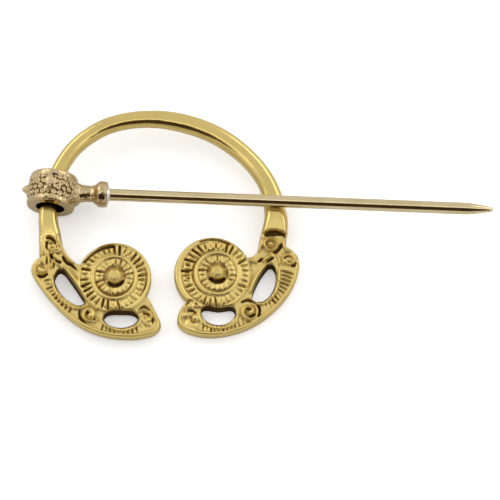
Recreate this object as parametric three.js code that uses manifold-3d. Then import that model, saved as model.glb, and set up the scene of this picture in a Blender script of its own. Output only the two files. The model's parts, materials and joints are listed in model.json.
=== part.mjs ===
// A penannular brooch, cast in brass, lying on its back on a table.
// Millimetres, +Z up, the origin under the middle of its box, the pin along +X.
// Three pieces: the ring (hoop and two openwork terminals in one casting),
// the barrel-shaped pin head that turns on the hoop, and the rod set in its collar.
import * as THREE from 'three';
import { mergeVertices } from 'three/addons/utils/BufferGeometryUtils.js';
import Module from 'manifold-3d';

const wasm = await Module();
wasm.setup();

const RAD = Math.PI / 180;

// ---- driving dimensions ----------------------------------------------------

// The ring is drawn in its own plane, with its flat back at z = 0.
// Hoop: [x, y, width, height] along its mid line, from the left neck to the right neck.
const HOOP = [
  [-41.0, -2.6, 5.2, 2.5],
  [-41.45, 1.8, 4.5, 3.1],
  [-41.95, 5.5, 3.95, 3.4],
  [-41.6, 10.4, 3.5, 3.35],
  [-40.2, 15.4, 3.35, 3.3],
  [-36.6, 21.3, 3.4, 3.3],
  [-30.4, 25.85, 3.45, 3.35],
  [-22.6, 27.65, 3.55, 3.4],
  [-14.6, 26.95, 3.95, 3.5],
  [-6.5, 23.85, 3.95, 3.5],
  [0.3, 18.3, 3.85, 3.5],
  [3.9, 12.7, 3.95, 3.5],
  [5.3, 6.6, 4.7, 3.45],
  [5.0, 2.6, 5.5, 3.35],
];
const HOOP_STEPS = 42;
const HOOP_SIDES = 10;
const NECK_WIDTH = 4.0; // above this width the section is squared into facets
const FACET_POWER = 0.72; // 1 is a round section, less is squarer

const PLATE = 2.25; // floor of the ornament
const PLATE_BEVEL = 0.3;
const RIM_TOP = 2.95;
const RIB_TOP = 2.85;
const VALLEY = PLATE + 0.05; // between two ribs
const RING_TOP = 3.15;
const SCROLL_TOP = 2.9;
const BOSS_TOP = 4.2;
const RELIEF_FOOT = 1.9; // raised work starts this far inside the plate
const EDGE = 0.3; // broken edges on the disc and the plain ring
const RIM_WIDTH = 0.5; // half the foot of the bead round a wing
const BEAD_FLAT = 0.45; // share of a bead's foot that is flat on top
const PETAL_GAP = 0.25;
const BOSS_FOOT = PLATE + 0.35;
const BOSS_STEPS = [[0.72, 3.5], [0.35, BOSS_TOP - 0.1]]; // share of its radius, height
const BOSS_SIDES = 8;
const SCROLL_STEP = 36; // degrees
const SCROLL_THIN = 0.55; // a scroll's ends against its middle
const PELLET = [[0.7, 0.55], [0, 0.75]]; // shares of its radius, out and up
const PELLET_SIDES = 6;
const DISC_SIDES = 36;
const RING_SIDES = 20;
const WING_STEPS = 52;
const RIM_STEPS = 20;
const HOLE_STEPS = 18;
const CUT_LOW = -1;
const CUT_HIGH = 6;

// Each terminal: the wing outline, the disc on it and what is cut from and set on both.
const LEFT = {
  wing: [
    [-42.9, 3.2], [-43.75, 0.8], [-43.45, -0.9], [-43.0, -2.7], [-43.9, -3.4], [-44.85, -4.5],
    [-45.15, -5.8], [-44.7, -7.2], [-43.4, -9.2], [-41.1, -12.2], [-38.0, -15.4],
    [-34.4, -18.0], [-30.4, -19.6], [-26.2, -20.2], [-22.2, -20.0], [-19.3, -19.0],
    [-18.3, -17.5], [-18.9, -15.6], [-19.9, -13.7], [-21.2, -11.4], [-27.0, -8.5],
    [-34.4, -4.9], [-36.3, -4.1], [-38.0, -2.3], [-39.1, 0.6], [-40.2, 3.2],
  ],
  rim: [
    [-44.6, -5.8], [-43.0, -9.0], [-40.8, -11.8], [-37.7, -14.95], [-34.2, -17.5],
    [-30.3, -19.1], [-26.2, -19.7], [-22.3, -19.5], [-19.6, -18.6], [-18.8, -17.4],
    [-19.3, -15.7], [-20.6, -13.2],
  ],
  disc: { x: -28.0, y: -7.45, r: 7.6, rim: 0.75 },
  ribs: { x: -28.1, y: -7.4, inner: 5.1, outer: 6.85, count: 34 },
  boss: { x: -28.0, y: -7.45, r: 2.0, ringIn: 3.9, ringOut: 4.85, petals: 13 },
  holes: [
    [
      [-39.3, -5.5], [-40.3, -7.3], [-39.7, -9.6], [-37.7, -12.1], [-35.2, -13.3],
      [-33.9, -12.7], [-35.2, -10.2], [-37.0, -7.6], [-38.3, -5.9],
    ],
    [
      [-30.1, -15.6], [-29.3, -14.5], [-26.5, -14.2], [-23.8, -14.5], [-22.9, -15.6],
      [-23.7, -17.1], [-26.5, -18.0], [-29.3, -17.2],
    ],
  ],
  bands: [
    {
      inner: [[-41.3, -7.9], [-40.9, -11.3], [-36.5, -14.1]],
      outer: [[-43.2, -8.2], [-42.0, -12.0], [-37.3, -15.3]],
      count: 12,
    },
    {
      inner: [[-30.3, -17.3], [-26.0, -19.6], [-22.4, -16.7]],
      outer: [[-31.0, -18.6], [-26.0, -20.5], [-20.6, -18.2]],
      count: 12,
    },
  ],
  scrolls: [
    { x: -43.0, y: -5.6, r: 1.5, end: 0.35, from: -150, turn: -420, width: 0.42 },
    { x: -32.9, y: -15.4, r: 1.65, end: 0.4, from: -60, turn: -400, width: 0.45 },
    { x: -41.0, y: -0.8, r: 1.0, end: 0.9, from: 140, turn: -320, width: 0.3 },
    { x: -20.9, y: -15.7, r: 1.2, end: 0.7, from: 90, turn: -330, width: 0.35 },
  ],
  pellets: [[-41.0, -0.85, 0.5], [-43.0, -5.6, 0.5], [-32.9, -15.4, 0.6]],
};
const RIGHT = {
  wing: [
    [3.2, 5.0], [2.2, 2.4], [1.8, 0.6], [1.3, -1.7], [0.1, -2.55], [-3.0, -3.2], [-9.0, -9.0],
    [-12.6, -11.6], [-13.8, -13.2], [-14.8, -15.2], [-14.9, -17.0], [-13.4, -18.5],
    [-10.6, -19.4], [-7.2, -19.6], [-3.4, -18.9], [0.2, -17.5], [3.6, -15.2],
    [6.4, -12.5], [8.5, -9.5], [9.7, -6.7], [10.15, -4.0], [9.8, -2.3], [8.4, -0.7],
    [7.4, -0.1], [7.6, 2.4], [6.9, 5.0],
  ],
  rim: [
    [-13.7, -12.3], [-14.35, -15.2], [-14.4, -16.8], [-13.1, -18.0], [-10.5, -18.9],
    [-7.2, -19.1], [-3.5, -18.4], [0.0, -17.0], [3.3, -14.8], [6.0, -12.2],
    [8.05, -9.2], [9.2, -6.5], [9.65, -4.0],
  ],
  disc: { x: -7.75, y: -6.35, r: 7.95, rim: 0.8 },
  ribs: { x: -7.1, y: -6.3, inner: 4.85, outer: 7.15, count: 36 },
  boss: { x: -6.8, y: -6.35, r: 1.9, ringIn: 3.8, ringOut: 4.65, petals: 13 },
  holes: [
    [
      [4.2, -3.9], [2.6, -5.6], [1.3, -8.0], [0.5, -10.2], [0.5, -11.7], [2.0, -12.15],
      [3.7, -11.2], [4.9, -9.1], [5.3, -6.7], [5.1, -4.8],
    ],
    [
      [-10.1, -14.2], [-9.6, -13.2], [-6.6, -13.4], [-3.6, -13.2], [-3.0, -14.2],
      [-3.8, -16.2], [-6.4, -17.2], [-9.1, -16.3],
    ],
  ],
  bands: [
    {
      inner: [[6.3, -4.9], [6.2, -9.6], [2.3, -13.2]],
      outer: [[9.0, -5.1], [8.6, -10.2], [3.2, -14.8]],
      count: 12,
    },
    {
      inner: [[-10.3, -16.1], [-6.5, -19.1], [-2.5, -15.9]],
      outer: [[-10.8, -18.6], [-5.5, -19.6], [-0.9, -17.3]],
      count: 12,
    },
  ],
  scrolls: [
    { x: -0.3, y: -14.4, r: 1.9, end: 0.4, from: 60, turn: -460, width: 0.5 },
    { x: 8.0, y: -3.3, r: 1.25, end: 0.4, from: 120, turn: -400, width: 0.4 },
    { x: 4.5, y: 0.2, r: 1.55, end: 1.55, from: 0, turn: -352, width: 0.38 },
  ],
  pellets: [
    [4.5, 0.2, 0.6], [8.0, -3.3, 0.5], [-11.4, -16.0, 1.0], [-11.7, -13.3, 0.75],
    [-13.2, -15.2, 0.7],
  ],
};

// The ring leans on the pin head: both terminals touch the table along one line.
const LEAN = 3.9 * RAD;
const LEAN_LINE = 30.6 * RAD;
const TOUCH = [-20.8, -20.0]; // where that line passes the left terminal

// Pin: the head's barrel lies across the rod, local Y is the axis that it turns on.
const BARREL = { x: -41.1, y: 10.85, lift: 5.3 };
const PIN_TURN = -3.0 * RAD;
const PIN_RISE = 1.45 * RAD;
const BARREL_HALF = 3.5;
const BORE = 2.95;
const BARREL_BELLY = 5.1;
const BARREL_WAIST = 4.55;
// Half of the barrel's outline, from its lip to its middle: radius, distance along the axis.
const BARREL_OUTLINE = [
  [4.8, BARREL_HALF], [5.1, 3.15], [5.0, 2.4], [BARREL_WAIST, 2.0], [4.9, 1.2], [BARREL_BELLY, 0],
];
const BARREL_SIDES = 24;
const KNOBS = [
  { turn: 176, rise: 1.35, foot: 1.25 },
  { turn: 90, rise: 0.55, foot: 1.1 },
];
const KNOB_ROOT = BARREL_WAIST - 0.9;
const KNOB_SHOULDER = { drop: 0.35, share: 0.4 }; // of its rise and of its foot
const KNOB_SIDES = 6;
const GRAIN = {
  r: 0.6, rise: 0.25, rows: [-1.3, 0, 1.3], step: 16, first: 22, last: 158, clear: 12, fall: 0.06,
  sides: 4,
};
const NECK = [
  [3.6, 2.7], [5.1, 2.6], [6.3, 2.1], [7.7, 1.72], [8.6, 1.85], [9.3, 2.5], [9.7, 2.7],
  [10.9, 2.7], [11.25, 2.5],
]; // distance from the barrel's axis, radius
const NECK_SIDES = 18;
const COLLAR_END = NECK.at(-1)[0];
const SOCKET_DEPTH = 2.3;
const FIT = 0.3; // gap between the rod and its socket
const ROD = 1.25;
const ROD_END = 91.4;
// The blunt point: distance from the barrel's axis, radius.
const ROD_POINT = [[85.6, ROD], [89.4, 0.78], [91.15, 0.5], [ROD_END, 0.25]];
const ROD_SIDES = 20;

// ---- solids ---------------------------------------------------------------

/** A closed manifold solid from vertices [x, y, z] and triangles [a, b, c]. */
function closedSolid(vertices, triangles) {
  const mesh = (tris) =>
    new wasm.Manifold(
      new wasm.Mesh({
        numProp: 3,
        vertProperties: new Float32Array(vertices.flat()),
        triVerts: new Uint32Array(tris.flat()),
      }),
    );
  const built = mesh(triangles);
  return built.volume() > 0 ? built : mesh(triangles.map(([a, b, c]) => [a, c, b]));
}

/** The same from a three.js geometry, with its shared vertices merged. */
function fromGeometry(geometry) {
  const bare = geometry.clone();
  bare.deleteAttribute('normal');
  bare.deleteAttribute('uv');
  const merged = mergeVertices(bare, 1e-4);
  const position = merged.getAttribute('position');
  const index = merged.getIndex().array;
  const vertices = [];
  for (let i = 0; i < position.count; i++) {
    vertices.push([position.getX(i), position.getY(i), position.getZ(i)]);
  }
  const triangles = [];
  for (let i = 0; i < index.length; i += 3) {
    const [a, b, c] = [index[i], index[i + 1], index[i + 2]];
    if (a !== b && b !== c && c !== a) triangles.push([a, b, c]);
  }
  return closedSolid(vertices, triangles);
}

/** A skin through equal loops of points, joined end to end or closed with caps. */
function loft(loops, joined = false) {
  const n = loops[0].length;
  const vertices = loops.flat();
  const triangles = [];
  const last = joined ? loops.length : loops.length - 1;
  for (let k = 0; k < last; k++) {
    const a = k * n;
    const b = ((k + 1) % loops.length) * n;
    for (let i = 0; i < n; i++) {
      const j = (i + 1) % n;
      triangles.push([a + i, a + j, b + j], [a + i, b + j, b + i]);
    }
  }
  if (!joined) {
    const end = (loops.length - 1) * n;
    for (let i = 1; i < n - 1; i++) {
      triangles.push([0, i + 1, i], [end, end + i, end + i + 1]);
    }
  }
  return closedSolid(vertices, triangles);
}

/** Turned work about Z: profile points are [radius, z]. */
function turned(profile, sides) {
  const points = profile.map(([r, z]) => new THREE.Vector2(r, z));
  return fromGeometry(new THREE.LatheGeometry(points, sides).rotateX(Math.PI / 2));
}

/** A smooth plane curve through a few points, sampled evenly. */
function curve(points, steps, closed = false) {
  const through = points.map(([x, y]) => new THREE.Vector3(x, y, 0));
  const line = new THREE.CatmullRomCurve3(through, closed, 'centripetal');
  const samples = line.getSpacedPoints(steps).map((p) => [p.x, p.y]);
  return closed ? samples.slice(0, -1) : samples;
}

/** Left-hand normals of a sampled plane curve. */
function normals(path, closed) {
  return path.map((_, i) => {
    const before = path[closed ? (i + path.length - 1) % path.length : Math.max(i - 1, 0)];
    const after = path[closed ? (i + 1) % path.length : Math.min(i + 1, path.length - 1)];
    const [dx, dy] = [after[0] - before[0], after[1] - before[1]];
    const length = Math.hypot(dx, dy);
    return [-dy / length, dx / length];
  });
}

/** A raised bead with sloping sides along a plane curve. */
function bead(path, width, top, closed = false) {
  const side = normals(path, closed);
  const loops = path.map(([x, y], i) => {
    const w = typeof width === 'function' ? width(i / (path.length - 1)) : width;
    const at = (offset, z) => [x + side[i][0] * offset, y + side[i][1] * offset, z];
    const flat = BEAD_FLAT * w;
    return [at(-w, RELIEF_FOOT), at(-flat, top), at(flat, top), at(w, RELIEF_FOOT)];
  });
  return loft(loops, closed);
}

/** A fluted band between two curves: ridges and valleys in turn. */
function flutedBand(inner, outer, joined = false) {
  const loops = inner.map((p, i) => {
    const z = i % 2 ? RIB_TOP : VALLEY;
    const q = outer[i];
    return [[...p, RELIEF_FOOT], [...p, z], [...q, z], [...q, RELIEF_FOOT]];
  });
  return loft(loops, joined);
}

function circle(x, y, r, count) {
  return Array.from({ length: count }, (_, i) => {
    const a = (i / count) * 2 * Math.PI;
    return [x + r * Math.cos(a), y + r * Math.sin(a)];
  });
}

/** Points on the quadratic curve of three handles. */
function bow([a, b, c], count) {
  return Array.from({ length: count + 1 }, (_, i) => {
    const t = i / count;
    const [u, v, w] = [(1 - t) * (1 - t), 2 * t * (1 - t), t * t];
    return [u * a[0] + v * b[0] + w * c[0], u * a[1] + v * b[1] + w * c[1]];
  });
}

function extruded(outline, low, high, bevel = 0) {
  const shape = new THREE.Shape(outline.map(([x, y]) => new THREE.Vector2(x, y)));
  const geometry = new THREE.ExtrudeGeometry(shape, {
    depth: high - low - 2 * bevel,
    bevelEnabled: bevel > 0,
    bevelThickness: bevel,
    bevelSize: bevel,
    bevelOffset: -bevel,
    bevelSegments: 1,
    curveSegments: 1,
  });
  return fromGeometry(geometry.translate(0, 0, low + bevel));
}

const joinAll = (solids) => solids.reduce((whole, next) => whole.add(next));

// ---- the ring -------------------------------------------------------------

/** The hoop: a rod that widens and squares into facets where it becomes the necks. */
function makeHoop() {
  const line = new THREE.CatmullRomCurve3(
    HOOP.map(([x, y]) => new THREE.Vector3(x, y, 0)), false, 'centripetal');
  const size = new THREE.CatmullRomCurve3(
    HOOP.map(([, , w, h]) => new THREE.Vector3(w, h, 0)), false, 'catmullrom');
  const path = [];
  const sizes = [];
  for (let k = 0; k <= HOOP_STEPS; k++) {
    const t = k / HOOP_STEPS;
    const p = line.getPoint(t);
    path.push([p.x, p.y]);
    sizes.push(size.getPoint(t));
  }
  const side = normals(path, false);
  const loops = path.map(([x, y], k) => {
    const { x: width, y: height } = sizes[k];
    const square = THREE.MathUtils.clamp(width - NECK_WIDTH, 0, 1);
    const power = THREE.MathUtils.lerp(1, FACET_POWER, square);
    const bent = (v) => Math.sign(v) * Math.abs(v) ** power;
    return Array.from({ length: HOOP_SIDES }, (_, i) => {
      const a = ((i + 0.5) / HOOP_SIDES) * 2 * Math.PI;
      const out = (bent(Math.cos(a)) * width) / 2;
      return [x + side[k][0] * out, y + side[k][1] * out, (1 + bent(Math.sin(a))) * height / 2];
    });
  });
  return loft(loops);
}

/** The disc with its raised rim, ribs, plain ring, petals and faceted boss. */
function makeDisc({ disc, ribs, boss }) {
  const { r, rim } = disc;
  const plate = turned([
    [0, 0], [r - EDGE, 0], [r, EDGE], [r, RIM_TOP - EDGE], [r - EDGE, RIM_TOP],
    [r - rim, RIM_TOP], [r - rim - EDGE, PLATE], [0, PLATE],
  ], DISC_SIDES).translate([disc.x, disc.y, 0]);
  const flutes = flutedBand(
    circle(ribs.x, ribs.y, ribs.inner, 2 * ribs.count),
    circle(ribs.x, ribs.y, ribs.outer, 2 * ribs.count), true);
  const ring = turned([
    [boss.ringIn, RELIEF_FOOT], [boss.ringOut, RELIEF_FOOT], [boss.ringOut - EDGE, RING_TOP],
    [boss.ringIn + EDGE, RING_TOP], [boss.ringIn, RELIEF_FOOT],
  ], RING_SIDES).translate([boss.x, boss.y, 0]);
  const petals = flutedBand(
    circle(boss.x, boss.y, boss.r + PETAL_GAP, 2 * boss.petals),
    circle(boss.x, boss.y, boss.ringIn - PETAL_GAP, 2 * boss.petals), true);
  const cone = turned([
    [0, RELIEF_FOOT], [boss.r, RELIEF_FOOT], [boss.r, BOSS_FOOT],
    ...BOSS_STEPS.map(([share, z]) => [share * boss.r, z]), [0, BOSS_TOP],
  ], BOSS_SIDES).translate([boss.x, boss.y, 0]);
  return joinAll([plate, flutes, ring, petals, cone]);
}

/** A bead that winds in from its outer radius to its inner one. */
function makeScroll({ x, y, r, end, from, turn, width }) {
  const steps = Math.ceil(Math.abs(turn) / SCROLL_STEP);
  const path = Array.from({ length: steps + 1 }, (_, i) => {
    const t = i / steps;
    const a = (from + turn * t) * RAD;
    const radius = THREE.MathUtils.lerp(r, end, t);
    return [x + radius * Math.cos(a), y + radius * Math.sin(a)];
  });
  const swell = (t) => SCROLL_THIN + (1 - SCROLL_THIN) * Math.sin(Math.PI * t);
  return bead(path, (t) => width * swell(t), SCROLL_TOP);
}

function makePellet([x, y, r]) {
  const dome = turned([
    [0, RELIEF_FOOT], [r, RELIEF_FOOT], ...PELLET.map(([out, up]) => [out * r, PLATE + up * r]),
  ], PELLET_SIDES);
  return dome.translate([x, y, 0]);
}

function makeTerminal(terminal) {
  const wing = extruded(curve(terminal.wing, WING_STEPS, true), 0, PLATE, PLATE_BEVEL);
  const raised = [
    makeDisc(terminal),
    bead(curve(terminal.rim, RIM_STEPS), RIM_WIDTH, RIM_TOP),
    ...terminal.bands.map(({ inner, outer, count }) =>
      flutedBand(bow(inner, 2 * count), bow(outer, 2 * count))),
    ...terminal.scrolls.map(makeScroll),
    ...terminal.pellets.map(makePellet),
  ];
  const cuts = terminal.holes.map((hole) =>
    extruded(curve(hole, HOLE_STEPS, true), CUT_LOW, CUT_HIGH));
  return cuts.reduce((left, cut) => left.subtract(cut), joinAll([wing, ...raised]));
}

function makeRing() {
  return joinAll([makeHoop(), makeTerminal(LEFT), makeTerminal(RIGHT)]);
}

// ---- the pin --------------------------------------------------------------

/** The barrel with its flared lips, open for the hoop; its axis is local Y. */
function makeBarrel() {
  const lower = BARREL_OUTLINE.map(([r, y]) => [r, -y]);
  const upper = BARREL_OUTLINE.slice(0, -1).reverse();
  const profile = [[BORE, -BARREL_HALF], ...lower, ...upper, [BORE, BARREL_HALF]];
  const points = [...profile, profile[0]].map(([r, y]) => new THREE.Vector2(r, y));
  return fromGeometry(new THREE.LatheGeometry(points, BARREL_SIDES));
}

/** Turned about the rod's own axis, local X. */
function turnedAlongRod(profile, sides) {
  const points = profile.map(([x, r]) => new THREE.Vector2(r, x));
  return fromGeometry(new THREE.LatheGeometry(points, sides).rotateZ(-Math.PI / 2));
}

/** Small grains in rows between the knobs, on the upper and outer panels. */
function makeGrains() {
  const { r, rise, rows, step, first, last, clear, fall, sides } = GRAIN;
  const top = KNOBS.at(-1).turn;
  const grains = [];
  rows.forEach((y, row) => {
    for (let a = first + (row % 2) * step / 2; a <= last; a += step) {
      if (Math.abs(a - top) < clear) continue;
      const dome = new THREE.ConeGeometry(r, 2 * rise, sides);
      dome.translate(0, BARREL_BELLY - fall * y * y, 0).rotateZ(-Math.PI / 2);
      grains.push(fromGeometry(dome.translate(0, y, 0).rotateY(-a * RAD)));
    }
  });
  return joinAll(grains);
}

function makeKnob({ turn, rise, foot }) {
  const tip = BARREL_BELLY + rise;
  const knob = turnedAlongRod([
    [KNOB_ROOT, 0], [KNOB_ROOT, foot], [BARREL_BELLY, foot],
    [tip - KNOB_SHOULDER.drop * rise, KNOB_SHOULDER.share * foot], [tip, 0],
  ], KNOB_SIDES);
  return knob.rotate([0, -turn, 0]);
}

function makePinHead() {
  const neck = turnedAlongRod([[NECK[0][0], 0], ...NECK, [COLLAR_END, 0]], NECK_SIDES);
  const bottom = COLLAR_END - SOCKET_DEPTH;
  const mouth = COLLAR_END + FIT;
  const socket = turnedAlongRod([
    [bottom, 0], [bottom, ROD + FIT], [mouth, ROD + FIT], [mouth, 0],
  ], ROD_SIDES);
  return joinAll([makeBarrel(), neck, makeGrains(), ...KNOBS.map(makeKnob)]).subtract(socket);
}

/** The rod, from inside its socket to the blunt point. */
function makePinShaft() {
  const start = COLLAR_END - SOCKET_DEPTH + FIT;
  return turnedAlongRod([
    [start, 0], [start, ROD], ...ROD_POINT, [ROD_END, 0],
  ], ROD_SIDES);
}

// ---- assembly -------------------------------------------------------------

function piece(name, solid, material) {
  const { vertProperties, triVerts } = solid.getMesh();
  const geometry = new THREE.BufferGeometry();
  geometry.setAttribute('position', new THREE.BufferAttribute(new Float32Array(vertProperties), 3));
  geometry.setIndex(new THREE.BufferAttribute(new Uint32Array(triVerts), 1));
  geometry.computeVertexNormals();
  const mesh = new THREE.Mesh(geometry, material);
  mesh.name = name;
  return mesh;
}

const ringMesh = piece('ring', makeRing(), new THREE.MeshStandardMaterial({
  color: 0xc39a3d, roughness: 0.28, metalness: 1,
}));
const headMesh = piece('pin_head', makePinHead(), new THREE.MeshStandardMaterial({
  color: 0xb79a63, roughness: 0.42, metalness: 1,
}));
const shaftMesh = piece('pin_shaft', makePinShaft(), new THREE.MeshStandardMaterial({
  color: 0xc0a46c, roughness: 0.24, metalness: 1,
}));

const leaning = new THREE.Group();
leaning.add(ringMesh);
leaning.quaternion.setFromAxisAngle(
  new THREE.Vector3(Math.cos(LEAN_LINE), Math.sin(LEAN_LINE), 0), LEAN);
ringMesh.position.set(-TOUCH[0], -TOUCH[1], 0);
leaning.position.set(TOUCH[0], TOUCH[1], 0);

const pin = new THREE.Group();
pin.add(headMesh, shaftMesh);
pin.position.set(BARREL.x, BARREL.y, BARREL.lift);
pin.rotation.set(0, -PIN_RISE, PIN_TURN, 'ZYX');

const laid = new THREE.Group();
laid.add(leaning, pin);
laid.updateMatrixWorld(true);
const ringBox = new THREE.Box3().setFromObject(ringMesh, true);
leaning.position.z -= ringBox.min.z;
const headBox = new THREE.Box3().setFromObject(headMesh, true);
pin.position.z -= headBox.min.z;
laid.updateMatrixWorld(true);
const box = new THREE.Box3().setFromObject(laid, true);
laid.position.set(-(box.min.x + box.max.x) / 2, -(box.min.y + box.max.y) / 2, 0);

const brooch = new THREE.Group();
brooch.add(laid);

export default brooch;
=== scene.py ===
"""Looks for a penannular brooch: a cast ring with two carved terminals, and its pin.

Each piece is drawn in its own plane or about its own axis, in millimetres, and is then
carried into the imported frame, which is read once at the top.
"""
import json
import math

import bmesh
import bpy
import numpy as np
from mathutils import Matrix, Vector, noise
from mathutils.bvhtree import BVHTree


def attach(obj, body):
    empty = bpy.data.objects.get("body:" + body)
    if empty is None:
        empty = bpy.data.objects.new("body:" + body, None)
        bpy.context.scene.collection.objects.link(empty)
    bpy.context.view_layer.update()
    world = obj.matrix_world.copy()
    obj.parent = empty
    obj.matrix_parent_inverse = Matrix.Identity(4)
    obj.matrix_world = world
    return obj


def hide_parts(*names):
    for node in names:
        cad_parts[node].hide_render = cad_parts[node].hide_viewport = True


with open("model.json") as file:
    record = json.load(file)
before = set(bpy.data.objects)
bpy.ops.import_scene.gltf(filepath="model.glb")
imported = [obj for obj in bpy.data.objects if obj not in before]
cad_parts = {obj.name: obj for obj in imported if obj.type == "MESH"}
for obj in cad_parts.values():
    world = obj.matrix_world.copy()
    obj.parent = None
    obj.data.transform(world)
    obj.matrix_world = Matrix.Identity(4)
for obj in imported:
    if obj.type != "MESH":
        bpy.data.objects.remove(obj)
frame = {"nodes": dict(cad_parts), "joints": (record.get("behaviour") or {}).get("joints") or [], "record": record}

bl_info = {
    "name": "Penannular brooch",
    "version": (1, 0, 0),
    "blender": (4, 5, 0),
    "location": "View3D > Sidebar > Brooch",
    "description": "Builds a cast brass penannular brooch with carved terminals and its pin",
    "category": "Add Mesh",
}

MM = 0.001
CIRCLE = 2 * math.pi

# ---- the ring, in its own plane: millimetres, flat back at z = 0 ----------------

# Along the hoop's mid line, from the left neck to the right neck: x, y, width, height, and
# how far above its middle the section is cut flat, as a share of half the height.
HOOP = [
    (-41.0, -2.6, 5.2, 2.5, 0.80),
    (-41.45, 1.8, 4.5, 3.1, 0.92),
    (-41.95, 5.5, 3.95, 3.4, 0.91),
    (-41.6, 10.4, 3.5, 3.35, 0.93),
    (-40.2, 15.4, 3.35, 3.3, 0.96),
    (-36.6, 21.3, 3.35, 3.3, 0.97),
    (-30.4, 25.85, 3.4, 3.35, 0.97),
    (-22.6, 27.65, 3.55, 3.4, 0.97),
    (-14.6, 26.95, 3.9, 3.5, 0.97),
    (-6.5, 23.85, 3.95, 3.5, 0.97),
    (0.3, 18.3, 3.85, 3.5, 0.97),
    (3.9, 12.7, 3.95, 3.5, 0.96),
    (5.3, 6.6, 4.7, 3.45, 0.94),
    (5.0, 2.6, 5.5, 3.35, 0.80),
]
HOOP_RINGS = 220
HOOP_SPAN_POINTS = 40  # between two rows of the table, to find where the hoop's loft ends
HOOP_SIDES = 26  # round the section, beside the flat
FLAT_SIDES = 6  # across the flat on top
HOOP_POWER = 0.85  # 1 is a round section, less is squarer
NECK_POWER = 0.78
NECK_WIDTH = 4.0  # wider than this the section is squared
NECK_END = 9.3  # the carved grids reach up to here, the hoop's loft goes on from it
NECK_SPAN_POINTS = 24
TUCK = 0.6  # how far the loft's ends reach into the grids
TUCK_NARROWS = 0.3  # the share by which those ends are narrower
HOOP_DENT = (0.028, 2.2)  # depth and size of the slow dents

FLOOR = 2.2  # height of the ground between the carving
EDGE = 0.4  # rounding where the top meets the side
# Rows down a side: share of the height, inset of a plate, inset of a neck.
WALL_ROWS = [(0.62, 0.0, 0.06), (0.3, 0.0, 0.35), (0.1, 0.04, 0.75), (0.0, 0.22, 1.1)]
HOLE_SLOPE = 0.6  # how far the holes lean toward -Y on their way to the back
NECK_OVER_PLATE = 0.1  # how far past its side a neck still lifts the plate
NECK_OVER_AIR = 0.3  # and how far past its side it goes on where there is no plate
NECK_BLEND = 0.3  # height over the floor at which the ground counts as neck
STEP_MARGIN = 1.0  # the neck's end behind a step, above the step's centre

OUTLINE_STEP = 0.5  # between the points of a drawn line
HOLE_STEP = 0.4
BEAD_STEP = 0.25
GROOVE_STEP = 0.2
SPLINE_POINTS = 24  # between two handles
CIRCLE_POINTS = 96
SCROLL_TURN = 12  # degrees between the points of a scroll
BEAD_ENDS = 0.6  # share of a line's width that its ends keep
SCROLL_ENDS = 0.7
GROOVE_ENDS = 0.3
TAPER_POWER = 0.6

RAYS_DEEPEST = 150.0  # the side where the slits round a disc are deepest, degrees
RAYS_VARY = 0.3  # the share of their depth that changes on the way round
CURL_RISE = 1.15
CURL_TURN = 1.1  # radians from one small curl to the next
CURL_JITTER = {"Turn jitter": 1.2, "Size jitter": 0.25}
SLIT_JITTER = {"Turn jitter": 0.18, "Size jitter": 0.28}
DOME_JITTER = {"Size jitter": 0.0}
# A boss from its skirt upward: heights, and shares of the foot's radius.
BOSS_SKIRT = [(-0.5, 1.4), (0.0, 1.35), (0.24, 1.05)]
BOSS_BREAK = (0.62, 0.86)  # where its side gets flatter: shares of the rise and of the radius
BOSS_TURN = 0.3

COARSE_CELL = 1.3  # of the cast ground's unevenness
FINE_CELL = 0.35
FINE_SHARE = 0.6
NECK_CALM = 0.85  # the share of the unevenness that the necks lack
HOLLOW_NEAR = 0.45  # a hollow lies below its surroundings blurred this far
HOLLOW_FAR = 1.1
FAR_SHARE = 0.5
HOLLOW_FADE = 0.5  # hollows fade out this near the outline
HOLE_SURROUND = 1.0  # but not this near a hole
TOP_MARGIN = 0.25  # points of the ring up to here over the carved top belong to it
WALL_MARGIN = 0.2  # and from here below it they are wall
HOLE_MARGIN = 0.3  # walls this near a hole's outline are the hole's
RAY_START = 10.0  # higher than any carving
SLOPE_LEAST = 0.25  # keeps a border point from moving too far
FINE_DENT = (0.5, 0.4)  # small dents in the large ones: shares of their depth and size

# Shapes of about one unit that the node trees set: a bar, a curl and a ringed grain.
BAR_CUBE = 2.3  # before its corners are rounded off
CURL_RADIUS = 0.66
CURL_SWEEP = 4.6
CURL_WIRE = 0.34
CURL_BALL_AT = (0.12, -0.1, 0.0)
GRAIN_RING = 0.39
GRAIN_WIRE = 0.2
GRAIN_BALL = 0.12

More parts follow.
